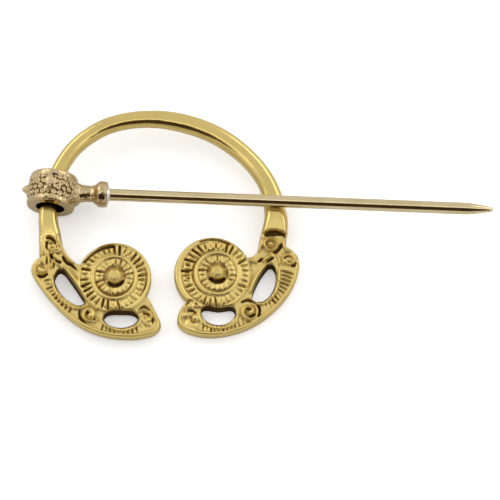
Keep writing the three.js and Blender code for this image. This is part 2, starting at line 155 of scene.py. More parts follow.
LEFT = {
    "box": (-46.2, -21.4, -17.4, 9.8),
    "neck": HOOP[:5],
    "wing": [
        (-42.9, 3.2), (-43.75, 0.8), (-43.45, -0.9), (-43.0, -2.7), (-43.9, -3.4),
        (-44.85, -4.5), (-45.15, -5.8), (-44.7, -7.2), (-43.4, -9.2), (-41.1, -12.2),
        (-38.0, -15.4), (-34.4, -18.0), (-30.4, -19.6), (-26.2, -20.2), (-22.2, -20.0),
        (-19.3, -19.0), (-18.3, -17.5), (-18.9, -15.6), (-19.9, -13.7), (-21.2, -11.4),
        (-27.0, -8.5), (-34.4, -4.9), (-36.3, -4.1), (-38.0, -2.3), (-39.1, 0.6),
        (-40.2, 3.2),
    ],
    "holes": [
        [
            (-39.3, -5.5), (-40.3, -7.3), (-39.7, -9.6), (-37.7, -12.1), (-35.2, -13.3),
            (-33.9, -12.7), (-35.2, -10.2), (-37.0, -7.6), (-38.3, -5.9),
        ],
        [
            (-30.1, -15.6), (-29.3, -14.5), (-26.5, -14.2), (-23.8, -14.5), (-22.9, -15.6),
            (-23.7, -17.1), (-26.5, -18.0), (-29.3, -17.2),
        ],
    ],
    "disc": (-28.0, -7.45, 7.6),
    # raised rings: centre x, centre y, radius, half width, rise, how lopsided, widest toward (degrees)
    "rings": [
        (-28.0, -7.45, 7.2, 0.42, 0.4, 0.45, 15),
        (-28.0, -7.45, 5.9, 0.95, 0.5, 0.0, 0),
        (-28.0, -7.45, 4.5, 0.55, 0.62, 0.0, 0),
        (-28.0, -7.2, 3.1, 0.85, 0.45, 0.0, 0),
    ],
    # slits toward a centre: x, y, inner and outer radius, number, half width, depth
    "rays": [
        (-28.1, -7.4, 5.05, 6.95, 34, 0.22, 0.56),
        (-28.0, -7.2, 2.3, 3.95, 19, 0.16, 0.36),
    ],
    # small curls round a centre: x, y, radius, number, size
    "curls": (-28.0, -7.2, 3.05, 12, 0.62),
    # faceted boss: x, y, radius of its foot and of its top, rise, sides
    "boss": (-28.0, -7.05, 1.85, 1.0, 1.2, 7),
    # slits across a band: three handles of its inner and outer line, number, half width, depth
    "bands": [
        ([(-41.0, -7.6), (-40.1, -11.4), (-36.0, -13.9)],
         [(-42.8, -8.0), (-41.8, -12.1), (-36.8, -15.4)], 10, 0.22, 0.25),
        ([(-30.3, -17.3), (-26.2, -19.2), (-21.4, -16.9)],
         [(-31.0, -18.4), (-26.2, -20.4), (-20.5, -18.2)], 11, 0.2, 0.26),
    ],
    # raised lines: handles, half width, rise
    "beads": [
        ([(-44.55, -5.8), (-43.0, -9.0), (-40.8, -11.8), (-37.7, -14.95), (-34.2, -17.5),
          (-30.3, -19.1), (-26.2, -19.7), (-22.3, -19.5), (-19.6, -18.6), (-18.8, -17.4),
          (-19.3, -15.7), (-20.6, -13.2)], 0.5, 0.42),
        ([(-40.7, -7.0), (-40.4, -9.6), (-38.4, -12.6), (-35.4, -14.1), (-33.2, -13.1)], 0.38, 0.4),
        ([(-38.5, -5.1), (-36.6, -7.3), (-34.7, -10.1), (-33.5, -12.4)], 0.4, 0.5),
        ([(-30.9, -15.7), (-30.0, -17.3), (-26.5, -18.6), (-23.2, -17.6), (-22.2, -15.8)], 0.36, 0.35),
        ([(-37.4, -4.9), (-36.0, -6.2), (-35.2, -7.6)], 0.35, 0.35),
        ([(-43.5, 1.6), (-43.2, -0.9), (-42.7, -2.6)], 0.4, 0.55),
        ([(-39.9, 1.6), (-39.1, -0.6), (-37.9, -2.7), (-36.4, -4.4)], 0.5, 0.6),
        ([(-42.3, 0.1), (-41.2, 0.5), (-40.3, -0.5), (-40.5, -1.7), (-41.4, -2.1), (-42.0, -1.3)],
         0.24, 0.45),
        ([(-40.2, -1.5), (-39.3, -1.9)], 0.28, 0.5),
        ([(-41.5, -2.5), (-41.5, -4.2), (-40.9, -5.6)], 0.28, 0.5),
        ([(-40.6, -2.9), (-40.2, -4.2), (-39.3, -4.9)], 0.3, 0.5),
        ([(-42.2, -3.0), (-42.3, -4.4), (-41.9, -5.5)], 0.26, 0.45),
        ([(-23.0, -14.7), (-22.0, -14.2), (-20.9, -14.6), (-20.4, -15.6)], 0.3, 0.45),
        ([(-22.4, -15.6), (-21.6, -16.9), (-20.5, -17.5)], 0.28, 0.45),
        ([(-31.3, -12.4), (-30.9, -13.4), (-29.9, -14.0)], 0.35, 0.4),
        ([(-32.6, -11.9), (-32.2, -13.1), (-31.2, -14.3)], 0.3, 0.35),
    ],
    # scrolls: centre x, y, outer and inner radius, start and turn in degrees, half width, rise
    "scrolls": [
        (-43.0, -5.6, 1.45, 0.5, 215, -430, 0.36, 0.62),
        (-32.9, -15.4, 1.75, 0.7, -30, -400, 0.4, 0.6),
        (-41.05, -0.9, 0.85, 0.75, 140, -340, 0.2, 0.5),
        (-21.1, -15.9, 0.9, 0.55, 60, -330, 0.24, 0.5),
    ],
    # domes: x, y, radius, rise
    "domes": [
        (-41.05, -0.9, 0.42, 0.45), (-43.1, -5.9, 0.6, 0.6), (-32.6, -15.6, 0.8, 0.7),
        (-21.0, -16.1, 0.4, 0.45), (-34.2, -10.9, 0.5, 0.4), (-33.6, -9.9, 0.35, 0.35),
    ],
    # sunk lines: handles, half width, depth
    "grooves": [
        ([(-42.2, 0.95), (-41.2, 0.75), (-40.5, 0.1), (-40.3, -0.5)], 0.4, 0.75),
        ([(-42.0, 0.3), (-42.05, -0.9), (-41.7, -1.8), (-40.9, -2.1)], 0.26, 0.55),
        ([(-41.4, -2.4), (-40.6, -3.4), (-39.8, -4.0), (-38.9, -4.2)], 0.34, 0.65),
        ([(-40.3, -1.6), (-39.4, -1.9)], 0.2, 0.45),
        ([(-40.2, -2.3), (-39.2, -2.5)], 0.16, 0.35),
        ([(-38.8, -2.9), (-37.9, -4.2), (-36.9, -4.8), (-35.8, -5.8)], 0.32, 0.7),
        ([(-42.0, -3.0), (-42.05, -4.9)], 0.18, 0.4),
        ([(-41.2, -3.4), (-41.2, -5.1)], 0.18, 0.4),
        ([(-40.6, -4.2), (-40.4, -5.6)], 0.18, 0.4),
        ([(-44.1, -7.05), (-42.8, -7.3), (-41.7, -6.7)], 0.32, 0.65),
        ([(-43.9, -4.4), (-42.6, -4.7), (-41.7, -5.9)], 0.22, 0.45),
        ([(-34.9, -14.3), (-35.05, -15.5), (-34.2, -16.7), (-32.2, -17.0), (-31.8, -16.2)], 0.27, 0.55),
        ([(-33.3, -15.4), (-33.3, -14.4), (-32.3, -14.3)], 0.22, 0.45),
        ([(-22.9, -14.2), (-21.7, -13.5), (-20.6, -14.5)], 0.24, 0.45),
        ([(-22.1, -15.0), (-20.9, -15.2), (-20.0, -16.2), (-19.95, -17.1)], 0.22, 0.4),
        ([(-22.0, -15.6), (-21.5, -16.4), (-21.1, -17.2)], 0.2, 0.4),
        ([(-34.4, -9.4), (-33.6, -9.6)], 0.24, 0.5),
        ([(-22.9, -3.5), (-21.6, -6.0), (-21.55, -8.9), (-22.7, -11.5)], 0.2, 0.4),
        ([(-34.4, -4.3), (-33.1, -2.5), (-31.5, -1.4), (-29.8, -0.8), (-28.0, -0.6)], 0.62, 0.85),
        ([(-29.3, -8.4), (-28.2, -9.0), (-26.9, -8.8), (-26.1, -8.0)], 0.34, 0.6),
    ],
    "seed": 3,
}
RIGHT = {
    "box": (-16.2, -21.0, 11.3, 9.8),
    "neck": HOOP[-3:],
    # the round step where the neck ends above the plate: x, y, radius
    "step": (4.7, -0.2, 3.45),
    "wing": [
        (3.2, 5.0), (2.2, 2.4), (1.8, 0.6), (1.3, -1.7), (0.1, -2.55), (-3.0, -3.2),
        (-9.0, -9.0), (-12.6, -11.6), (-13.8, -13.2), (-14.8, -15.2), (-14.9, -17.0),
        (-13.4, -18.5), (-10.6, -19.4), (-7.2, -19.6), (-3.4, -18.9), (0.2, -17.5),
        (3.6, -15.2), (6.4, -12.5), (8.5, -9.5), (9.7, -6.7), (10.15, -4.0), (9.8, -2.3),
        (8.4, -0.7), (7.4, -0.1), (7.6, 2.4), (6.9, 5.0),
    ],
    "holes": [
        [
            (4.2, -3.9), (2.6, -5.6), (1.3, -8.0), (0.5, -10.2), (0.5, -11.7), (2.0, -12.15),
            (3.7, -11.2), (4.9, -9.1), (5.3, -6.7), (5.1, -4.8),
        ],
        [
            (-10.1, -14.2), (-9.6, -13.2), (-6.6, -13.4), (-3.6, -13.2), (-3.0, -14.2),
            (-3.8, -16.2), (-6.4, -17.2), (-9.1, -16.3),
        ],
    ],
    "disc": (-7.75, -6.35, 7.95),
    "rings": [
        (-7.6, -6.35, 7.4, 0.5, 0.4, 0.5, 180),
        (-7.1, -6.3, 5.95, 1.0, 0.5, 0.0, 0),
        (-6.8, -6.3, 4.45, 0.55, 0.6, 0.0, 0),
        (-6.8, -6.2, 3.05, 0.85, 0.42, 0.0, 0),
    ],
    "rays": [
        (-7.1, -6.3, 5.1, 7.05, 34, 0.22, 0.52),
        (-6.8, -6.2, 2.3, 3.9, 18, 0.16, 0.34),
    ],
    "curls": (-6.8, -6.2, 3.1, 13, 0.66),
    "boss": (-6.9, -5.95, 1.8, 0.95, 1.2, 6),
    "bands": [
        ([(6.2, -4.9), (6.5, -9.7), (2.3, -12.5)],
         [(9.0, -5.9), (8.4, -11.0), (3.2, -14.2)], 11, 0.23, 0.32),
        ([(-9.6, -16.5), (-6.2, -18.4), (-1.5, -15.3)],
         [(-10.3, -18.5), (-5.4, -20.0), (-0.6, -17.2)], 11, 0.2, 0.3),
    ],
    "beads": [
        ([(-13.7, -12.3), (-14.35, -15.2), (-14.4, -16.8), (-13.1, -18.0), (-10.5, -18.9),
          (-7.2, -19.1), (-3.5, -18.4), (0.0, -17.0), (3.3, -14.8), (6.0, -12.2),
          (8.05, -9.2), (9.2, -6.5), (9.65, -4.0)], 0.5, 0.4),
        ([(5.9, -4.8), (6.0, -7.0), (5.4, -9.6), (3.9, -11.8), (2.1, -12.8), (0.6, -12.5)], 0.38, 0.4),
        ([(3.4, -4.0), (1.9, -5.9), (0.7, -8.0), (-0.1, -10.3)], 0.4, 0.45),
        ([(-10.8, -14.4), (-9.8, -16.7), (-6.5, -17.9), (-3.3, -16.9), (-2.4, -14.6)], 0.36, 0.35),
        ([(2.4, 1.6), (2.15, 0.2), (1.7, -1.5)], 0.4, 0.5),
        ([(7.1, 1.6), (6.9, 0.2), (7.4, -0.8), (8.7, -1.6), (9.4, -3.0)], 0.42, 0.55),
        ([(2.4, -3.6), (3.2, -2.9), (4.3, -2.2)], 0.42, 0.6),
        ([(5.3, -2.0), (5.9, -3.0), (6.0, -4.2)], 0.34, 0.5),
        ([(6.5, -1.8), (6.9, -2.9), (6.8, -4.2)], 0.3, 0.5),
        ([(-1.6, -3.7), (0.2, -3.4), (1.5, -3.9)], 0.4, 0.4),
        ([(-1.1, -5.3), (0.4, -5.0)], 0.35, 0.4),
        ([(-12.6, -12.3), (-11.7, -12.6), (-11.1, -13.6)], 0.3, 0.35),
    ],
    "scrolls": [
        (-0.3, -14.4, 1.95, 0.7, 75, -480, 0.42, 0.65),
        (8.1, -3.3, 1.3, 0.55, 150, -420, 0.32, 0.6),
        (4.25, 0.25, 1.38, 1.38, 0, -358, 0.3, 0.66),
    ],
    "domes": [
        (4.25, 0.25, 0.6, 0.6), (8.2, -3.2, 0.55, 0.55), (-11.3, -15.9, 0.95, 0.75),
        (-12.3, -13.3, 0.85, 0.55), (-13.2, -15.2, 0.75, 0.45), (0.1, -14.6, 0.6, 0.6),
        (-12.1, -17.2, 1.3, 0.35),
    ],
    "grooves": [
        ([(2.9, 2.2), (4.0, 2.55), (5.4, 2.6), (6.6, 2.5), (7.4, 2.0)], 0.5, 0.5),
        ([(4.6, -1.6), (5.4, -1.4), (6.2, -0.5), (6.4, 0.4)], 0.28, 0.55),
        ([(1.6, -3.6), (2.2, -3.2), (2.7, -2.9)], 0.3, 0.65),
        ([(3.4, -3.7), (4.3, -3.0), (4.9, -2.6)], 0.24, 0.55),
        ([(7.0, -3.0), (7.3, -2.4), (8.2, -2.3)], 0.26, 0.55),
        ([(8.0, -4.3), (8.9, -4.3), (9.3, -3.6)], 0.26, 0.5),
        ([(-1.9, -12.4), (-0.6, -11.9), (1.1, -12.6), (1.9, -13.9), (1.7, -15.4)], 0.32, 0.65),
        ([(-0.9, -13.9), (-0.3, -13.6), (0.3, -13.9)], 0.25, 0.5),
        ([(-0.3, -15.5), (0.5, -15.4), (1.1, -14.9)], 0.3, 0.6),
        ([(-12.1, -15.4), (-12.0, -16.6), (-11.0, -16.9)], 0.2, 0.4),
        ([(-11.4, -12.6), (-10.8, -13.2)], 0.26, 0.5),
        ([(-13.2, -13.1), (-12.5, -12.2), (-11.5, -12.4)], 0.2, 0.45),
        ([(-12.9, -14.2), (-12.0, -14.3), (-11.1, -14.7)], 0.2, 0.45),
        ([(-10.6, 0.55), (-8.6, 1.1), (-6.2, 0.9), (-4.0, 0.0)], 0.36, 0.7),
        ([(-2.4, -0.8), (-1.4, -1.9)], 0.25, 0.5),
        ([(-13.4, -4.4), (-12.4, -4.6)], 0.3, 0.6),
        ([(-13.6, -6.0), (-12.5, -6.1)], 0.3, 0.6),
        ([(-13.3, -7.6), (-12.4, -7.4)], 0.26, 0.55),
        ([(-8.4, -7.3), (-7.3, -7.8), (-6.1, -7.8), (-5.2, -7.2)], 0.42, 0.65),
    ],
    "seed": 8,
}

# ---- the pin: millimetres from the barrel's axis, the rod along local X ---------

BARREL_HALF = 3.5
BARREL_SIDES = 96
BORE = 2.95
# Half of the barrel's outline, from its lip to its middle: distance along the axis, radius.
BARREL_OUTLINE = [
    (3.5, 4.55), (3.42, 4.8), (3.15, 4.95), (2.8, 4.98), (2.45, 4.96), (2.2, 4.86), (2.05, 4.72),
    (1.5, 4.74), (0.8, 4.82), (0.0, 4.84),
]
BELLY = BARREL_OUTLINE[-1][1]
# Rows of ringed grains on the belly: place along the axis, first angle, and the degrees
# kept free on either side of the top ridge.
GRAIN_ROWS = [(-1.72, 20.0, 9.0), (-0.57, 13.0, 10.0), (0.58, 20.0, 13.0), (1.72, 12.0, 11.0)]
GRAIN_SEED = 4
GRAIN_STEP = 14.2
GRAIN_END = 166.0
GRAIN_LIFT = 0.22  # of the grains' mid plane over the belly's middle
GRAIN_SINK = 0.03  # how much lower the grains lie one millimetre from the middle
GRAIN_STRAY = 0.13  # how far the grains are out of their places
# Rings of grains on the neck's foot: distance from the barrel's axis, radius, number.
FOOT_GRAINS = [(4.75, 2.45, 13), (5.35, 2.05, 11)]
FOOT_STRAY = 0.2  # of the space between two of them
FOOT_LEAN = 0.7  # they look half outward, half along the rod
KNOBS = [
    {"turn": 176, "along": 0.0, "rise": 1.5, "foot": 1.3},
    {"turn": 89, "along": -0.75, "rise": 0.8, "foot": 0.5},
    {"turn": 94, "along": -1.55, "rise": 0.45, "foot": 0.4},
    {"turn": 84, "along": -1.35, "rise": 0.5, "foot": 0.35},
]
KNOB_PROFILE = [(0.0, 1.0), (0.5, 0.62), (0.88, 0.34)]  # shares of the rise and of the foot
KNOB_SIDES = 24
KNOB_ROOT = 1.2
KNOB_TIP = 0.08
# Swellings at the top knob: degrees round the barrel, how flat, and their turned outline
# as distance along the axis and radius.
RIDGES = [
    (92, 0.46, [(-0.6, 0.3), (-0.1, 0.75), (0.6, 1.05), (1.3, 0.85), (2.1, 0.35)]),
    (79, 1.6, [(-1.0, 0.1), (-0.6, 0.26), (0.5, 0.3), (1.3, 0.24), (1.8, 0.1)]),
    (95, 0.7, [(-3.2, 0.1), (-2.9, 0.4), (-2.5, 0.5), (-2.2, 0.4), (-2.0, 0.1)]),
]
RIDGE_SIDES = 20
HEAD_DENT = (0.055, 0.55)  # depth and size of the small dents
HEAD_LEAN = -3.0  # degrees from square to the rod
HEAD_PASSES = 60  # of smoothing, to tell hollows from the swell of the head
# The neck and collar turned about the rod: distance from the barrel's axis, radius.
NECK = [
    (3.6, 2.7), (5.0, 2.35), (6.0, 1.88), (7.1, 1.7), (8.1, 1.66), (8.8, 1.85), (9.4, 2.35),
    (9.75, 2.68), (10.15, 2.74), (11.1, 2.7), (11.45, 2.6), (11.55, 2.4),
]
NECK_SIDES = 64
VOXEL = 0.078  # of the skin round all of the head
FACES_KEPT = 0.74  # the share of its faces that stay
RUBBED_ALONG = 2.2  # the lips are rubbed bright from here along the axis
RUBBED_BEYOND = 5.8  # and so are the neck and collar from here along the rod
RUBBED = 0.8
BORE_MARGIN = 0.1

ROD = 1.25
ROD_SIDES = 40
ROD_ROWS = 60
ROD_START = 9.3
ROD_ROOT = 0.2
ROD_TAPER = 85.2
ROD_POINT = [
    (86.6, 1.2), (88.0, 1.02), (89.4, 0.8), (90.6, 0.6), (91.15, 0.45), (91.35, 0.3), (91.4, 0.1),
]
SOLDER_AT = 11.5
# The bead of solder, turned about the rod: distance along it, radius beyond the rod's.
SOLDER_PROFILE = [(0.0, -0.1), (0.0, 0.36), (0.16, 0.25), (0.38, 0.1), (0.65, 0.02), (0.65, -0.1)]

# ---- the metals: depths of hollows in millimetres -------------------------------

# The setting of each metal's bare colour, its bump and its look: patina closes at the depth
# "Reach" and is nearly black at "Black at", a black that is partly patina and partly painted shade.
METALS = {
    "Ring brass": ("ring_colour", 0.25, {"Reach": 0.44, "Black at": 1.1, "Grime": 0.12, "Dullness": 0.3}),
    "Head brass": ("head_colour", 0.4, {"Reach": 0.1, "Black at": 0.22, "Grime": 0.22, "Dullness": 0.24}),
    "Rod brass": ("rod_colour", 0.2, {"Reach": 0.3, "Black at": 0.5, "Grime": 0.15, "Dullness": 0.1}),
    "Solder": ("solder_colour", 0.5, {"Reach": 0.3, "Black at": 0.5, "Grime": 0.2, "Dullness": 0.25}),
}
BUMP_HEIGHT = 0.00003
# nearly black: patina in the deepest hollows, and painted shade on the hole walls and in the bore
DEEP_PATINA_AND_SHADE = (0.035, 0.016, 0.005, 1)
# The depth of hollow that these walls are given: painted shade on the walls of the holes and in the bore, a trace
# of darkening on the outer walls.
HOLE_WALL_SHADE = 0.75
OUTER_WALL_HOLLOW = 0.04
BORE_SHADE = 0.6

HOLLOW_START = 0.05  # where the patina begins
RAGGED = 0.12  # how uneven the patina's edge is
BROAD_SCALE = 160.0  # of the thin haze of grime
HAZE_START = 0.45
HAZE_END = 0.75
POLISH_SHINES = -0.16  # what polish, grime and grain add to the roughness
GRIME_DULLS = 0.3
GRAIN_DULLS = 0.1

# ---- the stage: degrees and metres ----------------------------------------------

CAMERA_ELEVATION = 69.0
CAMERA_DISTANCE = 0.5
CAMERA_LENS = 172.8
CAMERA_SENSOR = 36
CAMERA_CLIP = (0.01, 10)
TENT_LIGHT = 0.9
TENT_COLOUR = (0.97, 0.98, 1.0, 1)
OPENING_LIGHT = 0.05
OPENING_COLOUR = (1.0, 0.62, 0.28, 1)
OPENING_TILT = 43.0  # from straight up toward the camera's side
OPENING_INNER = 31.0
OPENING_OUTER = 37.0
RIM_OUTER = 49.0  # the tent is brighter just behind the opening, out to this angle
RIM_LIGHT = 1.2
RIM_START = 0.1  # how far behind the opening, as a cosine, the rim begins and is full
RIM_FULL = 0.45
FLOOR_GLOW = 0.37  # of the floor as the camera sees it, it lights nothing
FLOOR_HALF = 1.5
FLOOR_ROUGHNESS = 0.9
SOFTBOXES = {"left softbox": (-0.75, 0.55, 0.75), "right softbox": (0.75, 0.6, 0.75)}
SOFTBOX_SIZE = (1.0, 0.6)
SOFTBOX_POWER = 2.4


class BroochSettings(bpy.types.PropertyGroup):
    """Sizes and colours that a user would change."""

    grid_step: bpy.props.FloatProperty(
        name="Carving step", description="Distance between the points of the carved tops",
        default=0.000106, unit="LENGTH",
    )
    softness: bpy.props.FloatProperty(
        name="Casting softness", description="How far the casting rounds the carved edges",
        default=0.0001, unit="LENGTH",
    )
    unevenness: bpy.props.FloatProperty(
        name="Unevenness", description="Height of the slow unevenness of the cast ground",
        default=0.00004, unit="LENGTH",
    )
    ring_colour: bpy.props.FloatVectorProperty(
        name="Ring brass", description="Bare metal of the ring", subtype="COLOR", size=3,
        default=(0.68, 0.52, 0.18),
    )
    head_colour: bpy.props.FloatVectorProperty(
        name="Head brass", description="Bare metal of the pin head", subtype="COLOR", size=3,
        default=(0.56, 0.43, 0.23),
    )
    rod_colour: bpy.props.FloatVectorProperty(
        name="Rod brass", description="Bare metal of the rod", subtype="COLOR", size=3,
        default=(0.66, 0.54, 0.31),
    )
    solder_colour: bpy.props.FloatVectorProperty(
        name="Solder", description="Grey solder round the rod", subtype="COLOR", size=3,
        default=(0.80, 0.77, 0.70),
    )
    patina_colour: bpy.props.FloatVectorProperty(
        name="Patina", description="Dark patina in the recesses", subtype="COLOR", size=3,
        default=(0.16, 0.088, 0.03),
    )
    floor_colour: bpy.props.FloatVectorProperty(
        name="Floor", description="Plain pale floor", subtype="COLOR", size=3,
        default=(0.93, 0.93, 0.93),
    )


# ---- frames ----------------------------------------------------------------------


def carried(start, along, side, normal):
    """From millimetres along three axes at a start to the row frame."""
    axes = Matrix((along, side, normal)).transposed().to_4x4()
    return Matrix.Translation(start) @ axes @ Matrix.Scale(MM, 4)


def ring_matrix():
    """From the ring's own millimetres to the row frame, by its two terminal mounts."""
    mounts = {m["name"]: m for m in frame["record"]["mounts"]}
    left = mounts["left_terminal_back"]
    start = Vector(left["pos_m"])
    across = Vector(mounts["right_terminal_back"]["pos_m"]) - start
    normal = -Vector(left["axis"]).normalized()
    x0, y0 = LEFT["disc"][:2]
    x1, y1 = RIGHT["disc"][:2]
    slope = math.atan2(y1 - y0, x1 - x0)
    along = Matrix.Rotation(-slope, 3, normal) @ across.normalized()
    return carried(start, along, normal.cross(along), normal) @ Matrix.Translation((-x0, -y0, 0))


def pin_matrix():
    """From the pin's own millimetres to the row frame: Y is the axis that the head turns on."""
    joint = frame["joints"][0]
    start = Vector(joint["pos_m"])
    side = -Vector(joint["axis"]).normalized()
    rod = frame["nodes"]["pin_shaft"].data.vertices
    middle = sum((v.co for v in rod), Vector()) / len(rod)
    along = (middle - start).normalized()
    return carried(start, along, side, along.cross(side))


# ---- curves and distances --------------------------------------------------------


def spline(points, places, closed=False, power=0.5):
    """Catmull-Rom curve through points; power 0.5 is centripetal and 0 is uniform."""
    points = np.asarray(points, float)
    count = len(points)
    spans = count if closed else count - 1
    first = np.clip(np.floor(places).astype(int), 0, spans - 1)
    f = (places - first)[:, None]

    def at(k):
        if closed:
            return points[k % count]
        inner = points[np.clip(k, 0, count - 1)]
        inner = np.where((k < 0)[:, None], 2 * points[0] - points[1], inner)
        return np.where((k > count - 1)[:, None], 2 * points[-1] - points[-2], inner)

    def gap(a, b):
        return np.maximum(np.linalg.norm(b - a, axis=1) ** power, 1e-6)[:, None]

    p0, p1, p2, p3 = at(first - 1), at(first), at(first + 1), at(first + 2)
    g0, g1, g2 = gap(p0, p1), gap(p1, p2), gap(p2, p3)
    m1 = g1 * ((p1 - p0) / g0 - (p2 - p0) / (g0 + g1)) + (p2 - p1)
    m2 = g1 * ((p3 - p2) / g2 - (p3 - p1) / (g1 + g2)) + (p2 - p1)
    rise = f * f * (3 - 2 * f)
    return (1 - rise) * p1 + rise * p2 + f * (1 - f) ** 2 * m1 - f * f * (1 - f) * m2


def smooth_line(points, step, closed=False):
    """The curve through a few points, as points about one step apart."""
    spans = len(points) if closed else len(points) - 1
    fine = spline(points, np.linspace(0, spans, SPLINE_POINTS * spans + 1), closed)
    run = np.concatenate([[0], np.cumsum(np.linalg.norm(np.diff(fine, axis=0), axis=1))])
    count = max(int(round(run[-1] / step)), 2)
    wanted = np.linspace(0, run[-1], count + 1)
    line = np.stack([np.interp(wanted, run, values) for values in fine.T], axis=1)
    return line[:-1] if closed else line


def bow(handles, t):
    """Points on the quadratic curve of three handles."""
    a, b, c = (np.asarray(h, float) for h in handles)
    t = t[:, None]
    return (1 - t) ** 2 * a + 2 * t * (1 - t) * b + t * t * c


def around(x, y, radius, angle):
    """Points about a centre."""
    return np.stack([x + radius * np.cos(angle), y + radius * np.sin(angle)], axis=1)


def signed_distance(outline, x, y):
    """Distance of grid points to a closed outline, negative inside."""
    nearest = np.full(x.shape, np.inf)
    inside = np.zeros(x.shape, bool)
    for (ax, ay), (bx, by) in zip(outline, np.roll(outline, -1, axis=0)):
        dx, dy = bx - ax, by - ay
        along = np.clip(((x - ax) * dx + (y - ay) * dy) / (dx * dx + dy * dy), 0, 1)
        nearest = np.minimum(nearest, (x - ax - along * dx) ** 2 + (y - ay - along * dy) ** 2)
        if ay != by:
            inside ^= ((ay > y) != (by > y)) & (x < ax + (y - ay) / dy * dx)
    return np.where(inside, -1, 1) * np.sqrt(nearest)


def blurred(field, sigma):
    """A field of grid values, blurred by a round bell of sigma grid steps."""
    reach = max(int(3 * sigma), 1)
    weights = np.exp(-0.5 * (np.arange(-reach, reach + 1) / sigma) ** 2)
    weights /= weights.sum()
    for _ in ("rows", "columns"):
        count = len(field)
        padded = np.pad(field, ((reach, reach), (0, 0)), "edge")
        field = sum(padded[k:k + count] * w for k, w in enumerate(weights)).T
    return field


def stretched(values, count):
    """Rows of values, read at so many even places from the first to the last."""
    places = np.linspace(0, len(values) - 1.001, count)
    return np.stack([np.interp(places, np.arange(len(values)), v) for v in values.T], axis=1)


def uneven(shape, cell, rng):
    """Slow seeded unevenness over a grid, about one unit deep."""
    rows, columns = shape
    coarse = rng.normal(size=(int(rows / cell) + 3, int(columns / cell) + 3))
    return blurred(stretched(stretched(coarse, rows).T, columns).T, cell / 3)


# ---- meshes -----------------------------------------------------------------------


def adjusted(thing, **settings):
    """A thing with several of its settings set."""
    for key, value in settings.items():
        setattr(thing, key, value)
    return thing


def mesh_from(name, vertices, faces, edges=()):
    mesh = bpy.data.meshes.new(name)
    mesh.from_pydata(np.asarray(vertices).tolist(), [list(e) for e in edges], [list(f) for f in faces])
    mesh.update()
    return mesh


def object_from(name, data):
    piece = bpy.data.objects.new(name, data)
    bpy.context.scene.collection.objects.link(piece)
    return piece


def evaluated_mesh(piece):
    """The object's mesh with its modifiers applied; the object is removed."""
    graph = bpy.context.evaluated_depsgraph_get()
    made = bpy.data.meshes.new_from_object(piece.evaluated_get(graph), depsgraph=graph)
    bpy.data.objects.remove(piece)
    return made


def joined(name, meshes, work=None):
    """Several meshes as one, each kept as its own shell, after some work on their bmesh."""
    whole = bmesh.new()
    for mesh in meshes:
        whole.from_mesh(mesh)
    if work:
        work(whole)
    made = bpy.data.meshes.new(name)
    whole.to_mesh(made)
    whole.free()
    for mesh in meshes:
        bpy.data.meshes.remove(mesh)
    return made


def faced_outward(whole):
    """Turns every face of a closed bmesh outward."""
    bmesh.ops.recalc_face_normals(whole, faces=whole.faces)


def backed(whole):
    """Closes the open border of a bmesh with a flat back."""
    border = [edge for edge in whole.edges if edge.is_boundary]
    bmesh.ops.triangle_fill(whole, use_beauty=True, edges=border)
    faced_outward(whole)


def union(name, meshes):
    """The meshes joined into one skin."""
    made = meshes[0]
    for mesh in meshes[1:]:
        first = object_from(name, made)
        other = object_from("other", mesh)
        adjusted(first.modifiers.new("union", "BOOLEAN"),
                 operation="UNION", solver="MANIFOLD", object=other)
        made = evaluated_mesh(first)
        bpy.data.objects.remove(other)
    return made


def remeshed(mesh, voxel, smoothing, kept):
    """One skin round overlapping closed shells, with a share of its faces kept."""
    holder = object_from("remesh", mesh)
    adjusted(holder.modifiers.new("skin", "REMESH"), mode="VOXEL", voxel_size=voxel, adaptivity=0.0)
    adjusted(holder.modifiers.new("soft", "SMOOTH"), factor=0.5, iterations=smoothing)
    adjusted(holder.modifiers.new("fewer", "DECIMATE"), decimate_type="COLLAPSE", ratio=kept)
    return evaluated_mesh(holder)


def lofted(loops, name, closed=False):
    """A skin through equal loops of points, capped at both ends unless it closes on itself."""
    loops = np.asarray(loops, float)
    rows, count = loops.shape[:2]
    faces = []
    for k in range(rows if closed else rows - 1):
        a, b = k * count, ((k + 1) % rows) * count
        faces += [(a + i, a + (i + 1) % count, b + (i + 1) % count, b + i) for i in range(count)]
    if not closed:
        faces += [tuple(range(count))[::-1], tuple(range((rows - 1) * count, rows * count))]
    return joined(name, [mesh_from(name, loops.reshape(-1, 3), faces)], faced_outward)


def turned(profile, axis, sides, name, closed=False):
    """Turned work about a local axis from (distance, radius) points."""
    angles = np.arange(sides) / sides * CIRCLE
    loops = [np.column_stack([around(0, 0, r, angles), np.full(sides, z)]) for z, r in profile]
    mesh = lofted(loops, name, closed)
    if axis == "X":
        mesh.transform(Matrix.Rotation(math.pi / 2, 4, "Y"))
    if axis == "Y":
        mesh.transform(Matrix.Rotation(-math.pi / 2, 4, "X"))
    return mesh


def places_and_normals(mesh):
    """The points of a mesh and their normals, as two arrays."""
    rows = []
    for key in ("co", "normal"):
        values = np.zeros(len(mesh.vertices) * 3)
        mesh.vertices.foreach_get(key, values)
        rows.append(values.reshape(-1, 3))
    return rows


def dented(mesh, depth, size):
    """Small dents and swellings, as the mould left them."""
    co, normal = places_and_normals(mesh)
    share, smaller = FINE_DENT
    rise = [
        noise.noise(Vector(p / size)) + share * noise.noise(Vector(p / (smaller * size)))
        for p in co
    ]
    co += normal * depth * np.asarray(rise)[:, None]
    mesh.vertices.foreach_set("co", co.ravel())
    mesh.update()
    return mesh


